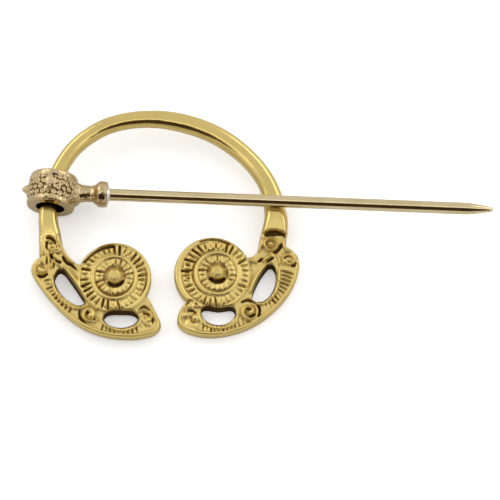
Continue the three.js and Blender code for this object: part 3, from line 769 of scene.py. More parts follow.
def mesh_hollows(mesh, passes):
    """How far each point lies below its smoothed neighbourhood, along its normal."""
    count = len(mesh.vertices)
    co, normal = places_and_normals(mesh)
    edges = np.zeros(len(mesh.edges) * 2, np.int32)
    mesh.edges.foreach_get("vertices", edges)
    a, b = edges.reshape(-1, 2).T
    share = np.bincount(a, minlength=count) + np.bincount(b, minlength=count)
    soft = co.copy()
    for _ in range(passes):
        total = np.stack([
            np.bincount(a, soft[b, k], count) + np.bincount(b, soft[a, k], count) for k in range(3)
        ], axis=1)
        soft = 0.5 * soft + 0.5 * total / np.maximum(share, 1)[:, None]
    return ((soft - co) * normal).sum(axis=1)


def set_values(mesh, name, values, kind="FLOAT"):
    attribute = mesh.attributes.new(name, kind, "POINT")
    key = "vector" if kind == "FLOAT_VECTOR" else "value"
    attribute.data.foreach_set(key, np.asarray(values, np.float32).ravel())


# ---- nodes --------------------------------------------------------------------------


def add_sockets(tree, in_out, rows):
    """Named sockets of a tree: label, kind and default of each."""
    for label, kind, default in rows:
        socket = tree.interface.new_socket(label, in_out=in_out, socket_type="NodeSocket" + kind)
        if default is not None:
            socket.default_value = default


def feed(tree, node, values):
    """Fills sockets of a node by value, from a node's first output, or from a socket."""
    for key, value in values.items():
        if isinstance(value, bpy.types.Node):
            value = value.outputs[0]
        if isinstance(value, bpy.types.NodeSocket):
            tree.links.new(value, node.inputs[key])
        else:
            node.inputs[key].default_value = value
    return node


def add_node(tree, kind, values=None, **settings):
    """A node with its settings, and its sockets filled."""
    return feed(tree, adjusted(tree.nodes.new(kind), **settings), values or {})


def calc(tree, operation, *values):
    """A maths node on up to three values."""
    return add_node(tree, "ShaderNodeMath", dict(enumerate(values)), operation=operation)


def ranged(tree, value, start, end, low=0.0, high=1.0, easing="SMOOTHSTEP"):
    """A value carried from one range to another and kept inside it."""
    return add_node(tree, "ShaderNodeMapRange", {
        "Value": value, "From Min": start, "From Max": end, "To Min": low, "To Max": high,
    }, interpolation_type=easing)


def mixed(tree, factor, first, second):
    """A mix of two colours."""
    node = add_node(tree, "ShaderNodeMix", {"Factor": factor, 6: first, 7: second}, data_type="RGBA")
    return node.outputs[2]


def new_tree(name, inputs):
    """A geometry tree with these named inputs and a material, and its input node."""
    tree = bpy.data.node_groups.new(name, "GeometryNodeTree")
    add_sockets(tree, "INPUT", [("Geometry", "Geometry", None), *inputs, ("Material", "Material", None)])
    add_sockets(tree, "OUTPUT", [("Geometry", "Geometry", None)])
    return tree, add_node(tree, "NodeGroupInput")


def finish_tree(tree, geometry, source):
    """Realize Instances, Set Material and the output, which end every tree."""
    real = add_node(tree, "GeometryNodeRealizeInstances", {"Geometry": geometry})
    painted = add_node(tree, "GeometryNodeSetMaterial", {
        "Geometry": real, "Material": source.outputs["Material"],
    })
    add_node(tree, "NodeGroupOutput", {0: painted})
    return tree


def stored(tree, name, kind="FLOAT"):
    """The value of a named attribute."""
    return add_node(tree, "GeometryNodeInputNamedAttribute", {"Name": name}, data_type=kind)


def random_between(tree, low, high, seed):
    """A seeded random number for each point."""
    node = add_node(tree, "FunctionNodeRandomValue", {2: low, 3: high, "Seed": seed}, data_type="FLOAT")
    return node.outputs[1]


def random_size(tree, source):
    """A random size about one, as uneven as the tree's size jitter."""
    jitter = source.outputs["Size jitter"]
    less, more = (calc(tree, operation, 1.0, jitter) for operation in ("SUBTRACT", "ADD"))
    return random_between(tree, less, more, source.outputs["Seed"])


def circle(tree, sides, radius):
    return add_node(tree, "GeometryNodeCurvePrimitiveCircle", {"Resolution": sides, "Radius": radius})


def tube(tree, path, radius, sides=8, caps=True, **scale):
    """A round tube along a path."""
    return add_node(tree, "GeometryNodeCurveToMesh", {
        "Curve": path, "Profile Curve": circle(tree, sides, radius), "Fill Caps": caps, **scale,
    })


def ball(tree, radius):
    return add_node(tree, "GeometryNodeMeshIcoSphere", {"Radius": radius, "Subdivisions": 2})


def together(tree, *shapes):
    """Several shapes as one geometry."""
    both = add_node(tree, "GeometryNodeJoinGeometry")
    for shape in shapes:
        feed(tree, both, {0: shape})
    return both


def rounded_bar(tree):
    cube = add_node(tree, "GeometryNodeMeshCube", {"Size": (BAR_CUBE, BAR_CUBE, BAR_CUBE)})
    return add_node(tree, "GeometryNodeSubdivisionSurface", {"Mesh": cube, "Level": 3})


def small_curl(tree):
    """An open ring that thickens into a ball."""
    arc = add_node(tree, "GeometryNodeCurveArc", {
        "Resolution": 14, "Radius": CURL_RADIUS, "Sweep Angle": CURL_SWEEP,
    })
    end = add_node(tree, "GeometryNodeTransform", {
        "Geometry": ball(tree, CURL_WIRE), "Translation": CURL_BALL_AT,
    })
    return together(tree, tube(tree, arc, CURL_WIRE), end)


def round_dome(tree):
    return add_node(tree, "GeometryNodeMeshUVSphere", {"Segments": 24, "Rings": 16, "Radius": 1.0})


def rosette(tree):
    """A little ring with a sunk middle."""
    path = circle(tree, 20, GRAIN_RING)
    return together(tree, tube(tree, path, GRAIN_WIRE, caps=False), ball(tree, GRAIN_BALL))


def swept_lines_tree():
    """Half-round lines swept along a path, which carries half_width and rise."""
    tree, source = new_tree("Swept lines", [("Sides", "Int", 12)])
    path = add_node(tree, "GeometryNodeMeshToCurve", {"Mesh": source.outputs["Geometry"]})
    half_width = stored(tree, "half_width")
    swept = tube(tree, path, 1.0, source.outputs["Sides"], Scale=half_width)
    ratio = calc(tree, "DIVIDE", stored(tree, "rise"), half_width)
    factor = add_node(tree, "ShaderNodeCombineXYZ", {0: 1.0, 1: 1.0, 2: ratio})
    place = add_node(tree, "GeometryNodeInputPosition")
    tall = add_node(tree, "ShaderNodeVectorMath", {0: place, 1: factor}, operation="MULTIPLY")
    pressed = add_node(tree, "GeometryNodeSetPosition", {"Geometry": swept, "Position": tall})
    return finish_tree(tree, pressed, source)


def scattered(tree, source, shape, rotation, size):
    """The tree's end that sets one shape on every point of the carrier."""
    points = add_node(tree, "GeometryNodeMeshToPoints", {"Mesh": source.outputs["Geometry"]})
    many = add_node(tree, "GeometryNodeInstanceOnPoints", {
        "Points": points, "Instance": shape(tree), "Rotation": rotation, "Scale": size,
    })
    return finish_tree(tree, many, source)


def placed_tree(name, shape):
    """One shape set on every point, which carries turn and size, a little varied by the seed."""
    tree, source = new_tree(name, [
        ("Turn jitter", "Float", 0.05), ("Size jitter", "Float", 0.06), ("Seed", "Int", 1),
    ])
    most = source.outputs["Turn jitter"]
    sway = random_between(tree, calc(tree, "MULTIPLY", most, -1.0), most, source.outputs["Seed"])
    angle = calc(tree, "ADD", stored(tree, "turn"), sway)
    euler = add_node(tree, "ShaderNodeCombineXYZ", {2: angle})
    spin = add_node(tree, "FunctionNodeEulerToRotation", {0: euler})
    size = add_node(tree, "ShaderNodeVectorMath", {
        0: stored(tree, "size", "FLOAT_VECTOR"), "Scale": random_size(tree, source),
    }, operation="SCALE")
    return scattered(tree, source, shape, spin, size)


def rosettes_tree():
    """Rosettes on points that carry the barrel's outward direction."""
    tree, source = new_tree("Rosettes", [("Size jitter", "Float", 0.18), ("Seed", "Int", 5)])
    face = add_node(tree, "FunctionNodeAlignRotationToVector", {
        "Vector": stored(tree, "outward", "FLOAT_VECTOR"),
    }, axis="Z")
    return scattered(tree, source, rosette, face, random_size(tree, source))


def run_tree(tree, carrier, values):
    """The plain mesh that a tree makes on a carrier mesh, with these input values."""
    holder = object_from("carrier", carrier)
    modifier = adjusted(holder.modifiers.new("made", "NODES"), node_group=tree)
    ids = {item.name: item.identifier for item in tree.interface.items_tree if item.in_out == "INPUT"}
    for label, value in values.items():
        modifier[ids[label]] = value
    return evaluated_mesh(holder)


# ---- the carving of a terminal -------------------------------------------------------


def path_mesh(lines):
    """Polylines as loose edges, with half_width and rise on their points."""
    vertices, edges, widths, rises = [], [], [], []
    for points, half_widths, rise, closed in lines:
        start = len(vertices)
        count = len(points)
        vertices += [(x, y, 0.0) for x, y in points]
        edges += [(start + i, start + i + 1) for i in range(count - 1)]
        if closed:
            edges.append((start + count - 1, start))
        widths += list(half_widths)
        rises += [rise] * count
    mesh = mesh_from("paths", vertices, [], edges)
    set_values(mesh, "half_width", widths)
    set_values(mesh, "rise", rises)
    return mesh


def point_mesh(rows):
    """Loose points, each (x, y, turn, (size x, y, z))."""
    mesh = mesh_from("points", [(x, y, 0.0) for x, y, _, _ in rows], [])
    set_values(mesh, "turn", [turn for _, _, turn, _ in rows])
    set_values(mesh, "size", [size for _, _, _, size in rows], "FLOAT_VECTOR")
    return mesh


def tapered(points, half_width, rise, ends):
    """An open line that thins toward its ends."""
    t = np.linspace(0, 1, len(points))
    widths = half_width * (ends + (1 - ends) * np.sin(math.pi * t) ** TAPER_POWER)
    return points, widths, rise, False


def scroll_line(x, y, outer, inner, start, turn):
    steps = max(int(abs(turn) / SCROLL_TURN), 4)
    t = np.linspace(0, 1, steps + 1)
    return around(x, y, outer + (inner - outer) * t, np.radians(start + turn * t))


def raised_lines(terminal):
    lines = []
    for x, y, radius, half_width, rise, lopsided, toward in terminal["rings"]:
        angle = np.arange(CIRCLE_POINTS) / CIRCLE_POINTS * CIRCLE
        widths = half_width * (1 + lopsided * np.cos(angle - math.radians(toward)))
        lines.append((around(x, y, radius, angle), widths, rise, True))
    for points, half_width, rise in terminal["beads"]:
        lines.append(tapered(smooth_line(points, BEAD_STEP), half_width, rise, BEAD_ENDS))
    for *shape, half_width, rise in terminal["scrolls"]:
        lines.append(tapered(scroll_line(*shape), half_width, rise, SCROLL_ENDS))
    return path_mesh(lines)


def sunk_lines(terminal):
    return path_mesh([
        tapered(smooth_line(points, GROOVE_STEP), half_width, depth, GROOVE_ENDS)
        for points, half_width, depth in terminal["grooves"]
    ])


def spokes(cx, cy, radius, count, first=0.0):
    """Even places on a circle: x, y and the angle."""
    for k in range(count):
        angle = (k + first) / count * CIRCLE
        yield cx + radius * math.cos(angle), cy + radius * math.sin(angle), angle


def slit_points(terminal):
    """Slits toward a centre, and slits across each band."""
    rows = []
    for cx, cy, inner, outer, count, half_width, depth in terminal["rays"]:
        for x, y, angle in spokes(cx, cy, (inner + outer) / 2, count, 0.5):
            deeper = 1 + RAYS_VARY * math.cos(angle - math.radians(RAYS_DEEPEST))
            rows.append((x, y, angle, ((outer - inner) / 2, half_width, depth * deeper)))
    for inner, outer, count, half_width, depth in terminal["bands"]:
        places = (np.arange(count) + 0.5) / count
        for (ax, ay), (bx, by) in zip(bow(inner, places), bow(outer, places)):
            length = math.hypot(bx - ax, by - ay)
            angle = math.atan2(by - ay, bx - ax)
            rows.append(((ax + bx) / 2, (ay + by) / 2, angle, (length / 2, half_width, depth)))
    return point_mesh(rows)


def curl_points(terminal):
    cx, cy, radius, count, size = terminal["curls"]
    return point_mesh([
        (x, y, angle + CURL_TURN * k, (size, size, CURL_RISE))
        for k, (x, y, angle) in enumerate(spokes(cx, cy, radius, count))
    ])


def dome_points(terminal):
    return point_mesh([(x, y, 0.0, (r, r, rise)) for x, y, r, rise in terminal["domes"]])


def boss_mesh(terminal):
    """A faceted cone with a small flat top."""
    x, y, foot, top, rise, sides = terminal["boss"]
    skirt = [(height, share * foot) for height, share in BOSS_SKIRT]
    profile = [*skirt, (BOSS_BREAK[0] * rise, BOSS_BREAK[1] * foot), (rise, top)]
    mesh = turned(profile, "Z", sides, "boss")
    mesh.transform(Matrix.Translation((x, y, 0)) @ Matrix.Rotation(BOSS_TURN, 4, "Z"))
    return mesh


def pressed(mesh, x, y):
    """Height of the mesh's top over each grid point, zero where there is none."""
    tree = BVHTree.FromPolygons(
        [v.co for v in mesh.vertices], [tuple(p.vertices) for p in mesh.polygons])
    heights = np.zeros(x.size)
    down = Vector((0, 0, -1))
    for i, (px, py) in enumerate(zip(x.ravel(), y.ravel())):
        hit = tree.ray_cast(Vector((px, py, RAY_START)), down)[0]
        if hit is not None:
            heights[i] = max(hit.z, 0.0)
    bpy.data.meshes.remove(mesh)
    return heights.reshape(x.shape)


def section_power(width):
    """How square the hoop's section is where it is this wide."""
    return HOOP_POWER + (NECK_POWER - HOOP_POWER) * np.clip(width - NECK_WIDTH, 0, 1)


def neck_surface(terminal, x, y):
    """The neck's top over the grid, the distance to its sides, its middle and half width."""
    table = np.asarray(sorted(terminal["neck"], key=lambda row: row[1]))
    places = np.linspace(0, len(table) - 1, NECK_SPAN_POINTS * len(table))
    line = spline(table[:, :2], places)
    sizes = spline(table[:, 2:5], places, power=0)
    middle, width, tall, flat = (
        np.interp(y, line[:, 1], values) for values in (line[:, 0], *sizes.T))
    across = np.abs(x - middle) / (width / 2)
    power = section_power(width)
    up = np.maximum(1 - np.clip(across, 0, 1) ** (2 / power), 0) ** (power / 2)
    height = (1 + np.minimum(up, flat)) * tall / 2
    beside = (across - 1) * width / 2
    distance = np.maximum.reduce([beside, y - NECK_END, line[0, 1] - y])
    height = np.where(y > line[0, 1], height, 0)
    return height, distance, middle, width / 2


def outlined(terminal, x, y):
    """The plain terminal over the grid: ground, distance to its outline and holes, its neck."""
    wing = signed_distance(smooth_line(terminal["wing"], OUTLINE_STEP, True), x, y)
    cx, cy, radius = terminal["disc"]
    distance = np.minimum(wing, np.hypot(x - cx, y - cy) - radius)
    neck, beside, middle, half = neck_surface(terminal, x, y)
    if "step" in terminal:
        step_x, step_y, step_radius = terminal["step"]
        neck = np.where(np.hypot(x - step_x, y - step_y) > step_radius, neck, 0)
        neck = np.where(y > step_y + STEP_MARGIN, neck, 0)
    over = beside < NECK_OVER_PLATE
    ground = np.maximum(FLOOR, np.where(over, neck, 0))
    is_neck = np.clip((neck - FLOOR) / NECK_BLEND, 0, 1) * over + (distance > beside)
    is_neck = np.clip(is_neck, 0, 1)
    ground = np.where((distance > 0) & (beside < NECK_OVER_AIR), neck, ground)
    distance = np.minimum(distance, beside)
    hole = np.full(x.shape, np.inf)
    for points in terminal["holes"]:
        hole = np.minimum(hole, signed_distance(smooth_line(points, HOLE_STEP, True), x, y))
    distance = np.maximum(distance, -hole)
    return {"x": x, "y": y, "ground": ground, "distance": distance, "hole": hole,
            "neck": is_neck, "middle": middle, "half": half}


def carve(terminal, trees, settings):
    """The fields of one terminal over its grid, with the carved height and its hollows."""
    step = settings.grid_step / MM
    x0, y0, x1, y1 = terminal["box"]
    x, y = np.meshgrid(np.arange(x0, x1, step), np.arange(y0, y1, step))
    field = outlined(terminal, x, y)
    distance, is_neck = field["distance"], field["neck"]
    seed = {"Seed": terminal["seed"]}
    rng = np.random.default_rng(terminal["seed"])
    raised = joined("raised", [
        run_tree(trees["lines"], raised_lines(terminal), {}),
        run_tree(trees["curls"], curl_points(terminal), {**CURL_JITTER, **seed}),
        run_tree(trees["domes"], dome_points(terminal), {**DOME_JITTER, **seed}),
        boss_mesh(terminal),
    ])
    sunk = joined("sunk", [
        run_tree(trees["lines"], sunk_lines(terminal), {}),
        run_tree(trees["bars"], slit_points(terminal), {**SLIT_JITTER, **seed}),
    ])
    height = field["ground"] + pressed(raised, x, y)
    rough = settings.unevenness / MM * (1 - NECK_CALM * is_neck)
    height += rough * uneven(x.shape, COARSE_CELL / step, rng)
    height += FINE_SHARE * rough * uneven(x.shape, FINE_CELL / step, rng)
    height -= pressed(sunk, x, y)
    height = blurred(height, settings.softness / MM / step)
    hollow = blurred(height, HOLLOW_NEAR / step) - height
    hollow += FAR_SHARE * (blurred(height, HOLLOW_FAR / step) - height)
    hollow *= np.clip(np.where(field["hole"] < HOLE_SURROUND, 1, -distance / HOLLOW_FADE), 0, 1)
    inside = np.clip((distance + EDGE) / EDGE, 0, 1)
    height = height - EDGE * (1 - np.sqrt(1 - inside ** 2)) * (1 - is_neck)
    return {**field, "height": height, "hollow": hollow, "step": step}


def snapped(field):
    """The grid with its border points moved onto the outline, their side, and the way out."""
    distance = field["distance"]
    gy, gx = np.gradient(distance, field["step"])
    steep = np.maximum(gx ** 2 + gy ** 2, SLOPE_LEAST)
    near = np.zeros(distance.shape, bool)
    for low, high in ((np.s_[:-1], np.s_[1:]), (np.s_[:, :-1], np.s_[:, 1:])):
        crossing = (distance[low] < 0) != (distance[high] < 0)
        closer = np.abs(distance[low]) <= np.abs(distance[high])
        near[low] |= crossing & closer
        near[high] |= crossing & ~closer
    move = np.where(near, distance, 0) / steep
    side = np.where(near, 0, np.sign(distance))
    return field["x"] - move * gx, field["y"] - move * gy, side, gx, gy


def grid_faces(side, distance):
    """Quads and triangles of the grid cells that lie inside the outline."""
    rows, columns = side.shape
    index = np.arange(rows * columns).reshape(rows, columns)
    corners = np.stack([index[:-1, :-1], index[:-1, 1:], index[1:, 1:], index[1:, :-1]], axis=-1)
    corners = corners.reshape(-1, 4)
    value = side.ravel()[corners]
    outside = (value > 0).sum(axis=1)
    centre = distance.ravel()[corners].mean(axis=1)
    whole = (outside == 0) & ((value < 0).any(axis=1) | (centre < 0))
    faces = corners[whole].tolist()
    for k in range(4):
        others = [(k + 1) % 4, (k + 2) % 4, (k + 3) % 4]
        cut = (outside == 1) & (value[:, k] > 0) & (value[:, others[1]] < 0)
        faces += corners[cut][:, others].tolist()
    return faces


def terminal_mesh(field, name):
    """The carved top, its walls and its flat back as one closed mesh."""
    x, y, side, gx, gy = snapped(field)
    faces = grid_faces(side, field["distance"])
    used = np.unique(np.concatenate([np.asarray(f) for f in faces]))
    renumber = np.full(side.size, -1)
    renumber[used] = np.arange(len(used))
    faces = [tuple(renumber[list(f)].tolist()) for f in faces]
    top = np.stack([grid.ravel()[used] for grid in (x, y, field["height"])], axis=1)

    directed = {(f[i], f[(i + 1) % len(f)]) for f in faces for i in range(len(f))}
    border = [(a, b) for a, b in directed if (b, a) not in directed]
    rim = sorted({a for a, _ in border})
    place = {v: i for i, v in enumerate(rim)}
    edge = top[rim]
    at_rim = [grid.ravel()[used[rim]] for grid in (
        gx, gy, field["hole"], field["neck"], field["middle"], field["half"])]
    outward = np.stack(at_rim[:2], axis=1)
    outward /= np.maximum(np.linalg.norm(outward, axis=1), 1e-6)[:, None]
    hole, neck, middle, half = at_rim[2:]
    at_hole = np.abs(hole) < 2 * field["step"]
    vertices = [top]
    above = rim
    for share, plate_inset, neck_inset in WALL_ROWS:
        level = edge.copy()
        level[:, 2] = edge[:, 2] * share
        plate = np.where(at_hole, 0, plate_inset * (1 - neck))
        level[:, :2] -= outward * plate[:, None]
        level[:, 1] -= np.where(at_hole, (1 - share) * HOLE_SLOPE, 0)
        level[:, 0] += (middle - edge[:, 0]) * neck_inset / half * neck
        start = sum(len(rows) for rows in vertices)
        below = range(start, start + len(rim))
        for a, b in border:
            i, j = place[a], place[b]
            faces.append((above[i], below[i], below[j], above[j]))
        vertices.append(level)
        above = below
    return joined(name, [mesh_from(name, np.concatenate(vertices), faces)], backed)


# ---- the hoop, and the ring's hollows ---------------------------------------------------


def hoop_path():
    """Places along the hoop between the ends of the two necks, with the sizes there."""
    table = np.asarray(HOOP)
    places = np.linspace(0, len(HOOP) - 1, HOOP_SPAN_POINTS * len(HOOP))
    line = spline(table[:, :2], places)
    above = places[line[:, 1] > NECK_END - TUCK]
    places = np.linspace(above[0], above[-1], HOOP_RINGS)
    return spline(table[:, :2], places), *spline(table[:, 2:5], places, power=0).T


def hoop_mesh():
    """The hoop between its necks: an oval, a little flat on top."""
    path, width, tall, flat = hoop_path()
    ahead = np.gradient(path, axis=0)
    ahead /= np.linalg.norm(ahead, axis=1)[:, None]
    side = np.stack([-ahead[:, 1], ahead[:, 0]], axis=1)
    narrowed = 1 + TUCK_NARROWS * np.clip((path[:, 1] - NECK_END) / TUCK, -1, 0)
    loops = []
    for (px, py), (sx, sy), w, h, cut, share in zip(path, side, width, tall, flat, narrowed):
        power = section_power(w)
        shoulder = math.asin(cut ** (1 / power))
        below = np.linspace(math.pi - shoulder, CIRCLE + shoulder, HOOP_SIDES)
        across, up = (np.sign(v) * np.abs(v) ** power for v in (np.cos(below), np.sin(below)))
        over = np.linspace(across[-1], across[0], FLAT_SIDES + 1)[1:-1]
        out = np.concatenate([across, over]) * share * w / 2
        up = np.concatenate([up, np.full(len(over), up[-1])]) * share
        loops.append(np.stack([px + sx * out, py + sy * out, (1 + up) * h / 2], axis=1))
    return lofted(loops, "hoop")


def sampled(field, keys, px, py):
    """Whether each point is over the field's grid, and the named grids read there."""
    fx = (px - field["x"][0, 0]) / field["step"]
    fy = (py - field["y"][0, 0]) / field["step"]
    rows, columns = field["x"].shape
    over = (fx >= 0) & (fy >= 0) & (fx < columns - 1) & (fy < rows - 1)
    i = np.clip(fx.astype(int), 0, columns - 2)
    j = np.clip(fy.astype(int), 0, rows - 2)
    u, v = fx - i, fy - j
    values = []
    for grid in (field[key] for key in keys):
        low = grid[j, i] * (1 - u) + grid[j, i + 1] * u
        high = grid[j + 1, i] * (1 - u) + grid[j + 1, i + 1] * u
        values.append(low * (1 - v) + high * v)
    return over, *values


def ring_hollows(mesh, fields):
    """How deep in the carving each point of the ring lies, with painted shade on the walls of its holes, and how
    polished it is.
    """
    co, _ = places_and_normals(mesh)
    hollow = np.zeros(len(co))
    polish = np.ones(len(co))
    for field in fields:
        over, height, value, hole, neck = sampled(
            field, ("height", "hollow", "hole", "neck"), co[:, 0], co[:, 1])
        carved = over & (co[:, 2] < height + TOP_MARGIN)
        wall = carved & (co[:, 2] < height - WALL_MARGIN)
        hollow = np.where(carved, value, hollow)
        # painted shade: the walls of the holes are painted dark, the outer walls get a trace of darkening
        hollow = np.where(wall, np.where(hole < HOLE_MARGIN, HOLE_WALL_SHADE, OUTER_WALL_HOLLOW), hollow)
        polish = np.where(over, neck, polish)
    return hollow, polish


# ---- the pin head -------------------------------------------------------------------


def barrel_mesh():
    lower = [(-y, r) for y, r in BARREL_OUTLINE]
    upper = BARREL_OUTLINE[-2::-1]
    profile = [(-BARREL_HALF, BORE), *lower, *upper, (BARREL_HALF, BORE)]
    return turned(profile, "Y", BARREL_SIDES, "barrel", closed=True)


def knob_mesh(turn, along, rise, foot):
    slope = [(BELLY + up * rise, share * foot) for up, share in KNOB_PROFILE]
    profile = [(BELLY - KNOB_ROOT, foot), *slope, (BELLY + rise, KNOB_TIP)]
    mesh = turned(profile, "X", KNOB_SIDES, "knob")
    mesh.transform(Matrix.Translation((0, along, 0)) @ Matrix.Rotation(-math.radians(turn), 4, "Y"))
    return mesh


def ridge_mesh(turn, flat, profile):
    """A smooth swelling on the belly, flattened outward."""
    mesh = turned(profile, "Y", RIDGE_SIDES, "ridge")
    mesh.transform(Matrix.Translation((0, 0, BELLY)) @ Matrix.Diagonal((1.0, 1.0, flat, 1.0)))
    mesh.transform(Matrix.Rotation(math.radians(90 - turn), 4, "Y"))
    return mesh


def grain_points():
    """Grains over the barrel's belly and over the foot of the neck."""
    rng = np.random.default_rng(GRAIN_SEED)
    places, outward = [], []
    for row, first, clear in GRAIN_ROWS:
        radius = BELLY + GRAIN_LIFT - GRAIN_SINK * row * row
        for angle in np.arange(first, GRAIN_END, GRAIN_STEP):
            turn, along = rng.uniform(-GRAIN_STRAY, GRAIN_STRAY, 2)
            if abs(angle - 90) < clear:
                continue
            a = math.radians(angle) + turn / BELLY
            places.append((radius * math.cos(a), row + along, radius * math.sin(a)))
            outward.append((math.cos(a), 0.0, math.sin(a)))
    for distance, radius, count in FOOT_GRAINS:
        for k in range(count):
            a = (k + rng.uniform(-FOOT_STRAY, FOOT_STRAY)) / count * CIRCLE
            places.append((distance, radius * math.cos(a), radius * math.sin(a)))
            outward.append((FOOT_LEAN, FOOT_LEAN * math.cos(a), FOOT_LEAN * math.sin(a)))
    mesh = mesh_from("grains", places, [])
    set_values(mesh, "outward", outward, "FLOAT_VECTOR")
    return mesh


# ---- materials ------------------------------------------------------------------------


def skin_group():
    """Shared by the brasses and the solder: patina and painted shade by hollow, grime and grain by noise."""
    if "Aged brass skin" in bpy.data.node_groups:
        return bpy.data.node_groups["Aged brass skin"]
    group = bpy.data.node_groups.new("Aged brass skin", "ShaderNodeTree")
    add_sockets(group, "INPUT", [
        ("Bare", "Color", (0.8, 0.6, 0.2, 1)), ("Patina", "Color", (0.02, 0.01, 0.0, 1)),
        ("Hollow", "Float", 0.0), ("Reach", "Float", 0.2), ("Black at", "Float", 0.4),
        ("Grime", "Float", 0.1), ("Dullness", "Float", 0.3), ("Polish", "Float", 0.0),
        ("Scale", "Float", 900.0),
    ])
    add_sockets(group, "OUTPUT", [
        ("Color", "Color", None), ("Roughness", "Float", None), ("Height", "Float", None),
    ])
    given = add_node(group, "NodeGroupInput").outputs
    place = add_node(group, "ShaderNodeTexCoord").outputs["Object"]
    grain = add_node(group, "ShaderNodeTexNoise", {
        "Vector": place, "Scale": given["Scale"], "Detail": 4.0, "Roughness": 0.6,
    })
    broad = add_node(group, "ShaderNodeTexNoise", {
        "Vector": place, "Scale": BROAD_SCALE, "Detail": 2.0,
    })
    ragged = calc(group, "MULTIPLY_ADD", grain, RAGGED, -RAGGED / 2)
    depth = calc(group, "ADD", given["Hollow"], ragged)
    mask = ranged(group, depth, HOLLOW_START, given["Reach"])
    haze = ranged(group, broad, HAZE_START, HAZE_END, 0.0, given["Grime"], "LINEAR")
    # patina and painted shade from the hollows, or the grime haze, whichever is more
    grime = calc(group, "MAXIMUM", mask, haze)
    deep = ranged(group, depth, given["Reach"], given["Black at"])
    stained_and_shaded = mixed(group, grime, given["Bare"], given["Patina"])
    rubbed = calc(group, "MULTIPLY_ADD", given["Polish"], POLISH_SHINES, given["Dullness"])
    dull = calc(group, "MULTIPLY_ADD", grime, GRIME_DULLS, rubbed)
    add_node(group, "NodeGroupOutput", {
        "Color": mixed(group, deep, stained_and_shaded, DEEP_PATINA_AND_SHADE),
        "Roughness": calc(group, "MULTIPLY_ADD", grain, GRAIN_DULLS, dull),
        "Height": grain,
    })
    return group


def new_material(name):
    """A material, its tree and its shader."""
    material = bpy.data.materials.new(name)
    material.use_nodes = True
    return material, material.node_tree, material.node_tree.nodes["Principled BSDF"]


def metal(name):
    """A metal whose recesses, read from the attribute hollow, are dark with patina and painted shade."""
    setting, bump, look = METALS[name]
    settings = bpy.context.scene.brooch
    bare, patina = (*getattr(settings, setting), 1), (*settings.patina_colour, 1)
    material, tree, shader = new_material(name)
    hollow, polish = (
        add_node(tree, "ShaderNodeAttribute", attribute_name=key).outputs["Fac"]
        for key in ("hollow", "polish"))
    skin = add_node(tree, "ShaderNodeGroup", {
        "Hollow": hollow, "Polish": polish, "Bare": bare, "Patina": patina, **look,
    }, node_tree=skin_group())
    dents = add_node(tree, "ShaderNodeBump", {
        "Height": skin.outputs["Height"], "Strength": bump, "Distance": BUMP_HEIGHT,
    })
    feed(tree, shader, {
        "Base Color": skin.outputs["Color"], "Roughness": skin.outputs["Roughness"],
        "Normal": dents, "Metallic": 1.0,
    })
    return material


def dressed(name, mesh, matrix, brass, hollow, polish, body, node, slot):
    """Carries a finished mesh into the frame, paints it and hangs it on its body."""
    mesh.transform(matrix)
    mesh.materials.clear()
    mesh.materials.append(metal(brass))
    set_values(mesh, "hollow", hollow)
    set_values(mesh, "polish", polish)
    mesh.shade_smooth()
    piece = object_from(name, mesh)
    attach(piece, body)
    if node:
        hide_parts(node)
    return piece


# ---- the stage ------------------------------------------------------------------------


def softbox(name, place):
    """A wide lamp that looks at the middle of the floor."""
    light = adjusted(bpy.data.lights.new(name, "AREA"), shape="RECTANGLE", energy=SOFTBOX_POWER)
    light.size, light.size_y = SOFTBOX_SIZE
    lamp = object_from(name, light)
    lamp.location = place
    lamp.rotation_euler = (-Vector(place)).to_track_quat("-Z", "Y").to_euler()


def studio_world():
    """A pale tent of light with a dim, warm opening above the object and a brighter rim."""
    world = bpy.data.worlds.new("Studio")
    world.use_nodes = True
    tree = world.node_tree
    toward = add_node(tree, "ShaderNodeTexCoord").outputs["Generated"]
    tilt = math.radians(OPENING_TILT)
    inner, outer, rim = (
        math.cos(math.radians(angle)) for angle in (OPENING_INNER, OPENING_OUTER, RIM_OUTER))
    facing, behind = (
        add_node(tree, "ShaderNodeVectorMath", {0: toward, 1: way},
                 operation="DOT_PRODUCT").outputs["Value"]
        for way in ((0.0, -math.sin(tilt), math.cos(tilt)), (0.0, math.cos(tilt), math.sin(tilt))))
    inside = ranged(tree, facing, outer, inner)
    near = ranged(tree, facing, rim, outer)
    upper = ranged(tree, behind, RIM_START, RIM_FULL, 0.0, RIM_LIGHT)
    tent = calc(tree, "MULTIPLY_ADD", near, upper, TENT_LIGHT)
    feed(tree, tree.nodes["Background"], {
        "Color": mixed(tree, inside, TENT_COLOUR, OPENING_COLOUR),
        "Strength": ranged(tree, inside, 0.0, 1.0, tent, OPENING_LIGHT, "LINEAR"),
    })
    return world


# ---- operators ------------------------------------------------------------------------


class BROOCH_OT_ring(bpy.types.Operator):
    """Cast the hoop and its two carved terminals as one piece"""

    bl_idname = "brooch.ring"
    bl_label = "Ring"

    def execute(self, context):
        settings = context.scene.brooch
        trees = {
            "lines": swept_lines_tree(),
            "bars": placed_tree("Bars", rounded_bar),
            "curls": placed_tree("Curls", small_curl),
            "domes": placed_tree("Domes", round_dome),
        }
        fields = [carve(terminal, trees, settings) for terminal in (LEFT, RIGHT)]
        parts = [terminal_mesh(field, "terminal") for field in fields]
        mesh = union("ring", [dented(hoop_mesh(), *HOOP_DENT), *parts])
        dressed("brooch_ring", mesh, ring_matrix(), "Ring brass", *ring_hollows(mesh, fields),
                "ring", "ring", "ring_brass")
        return {"FINISHED"}


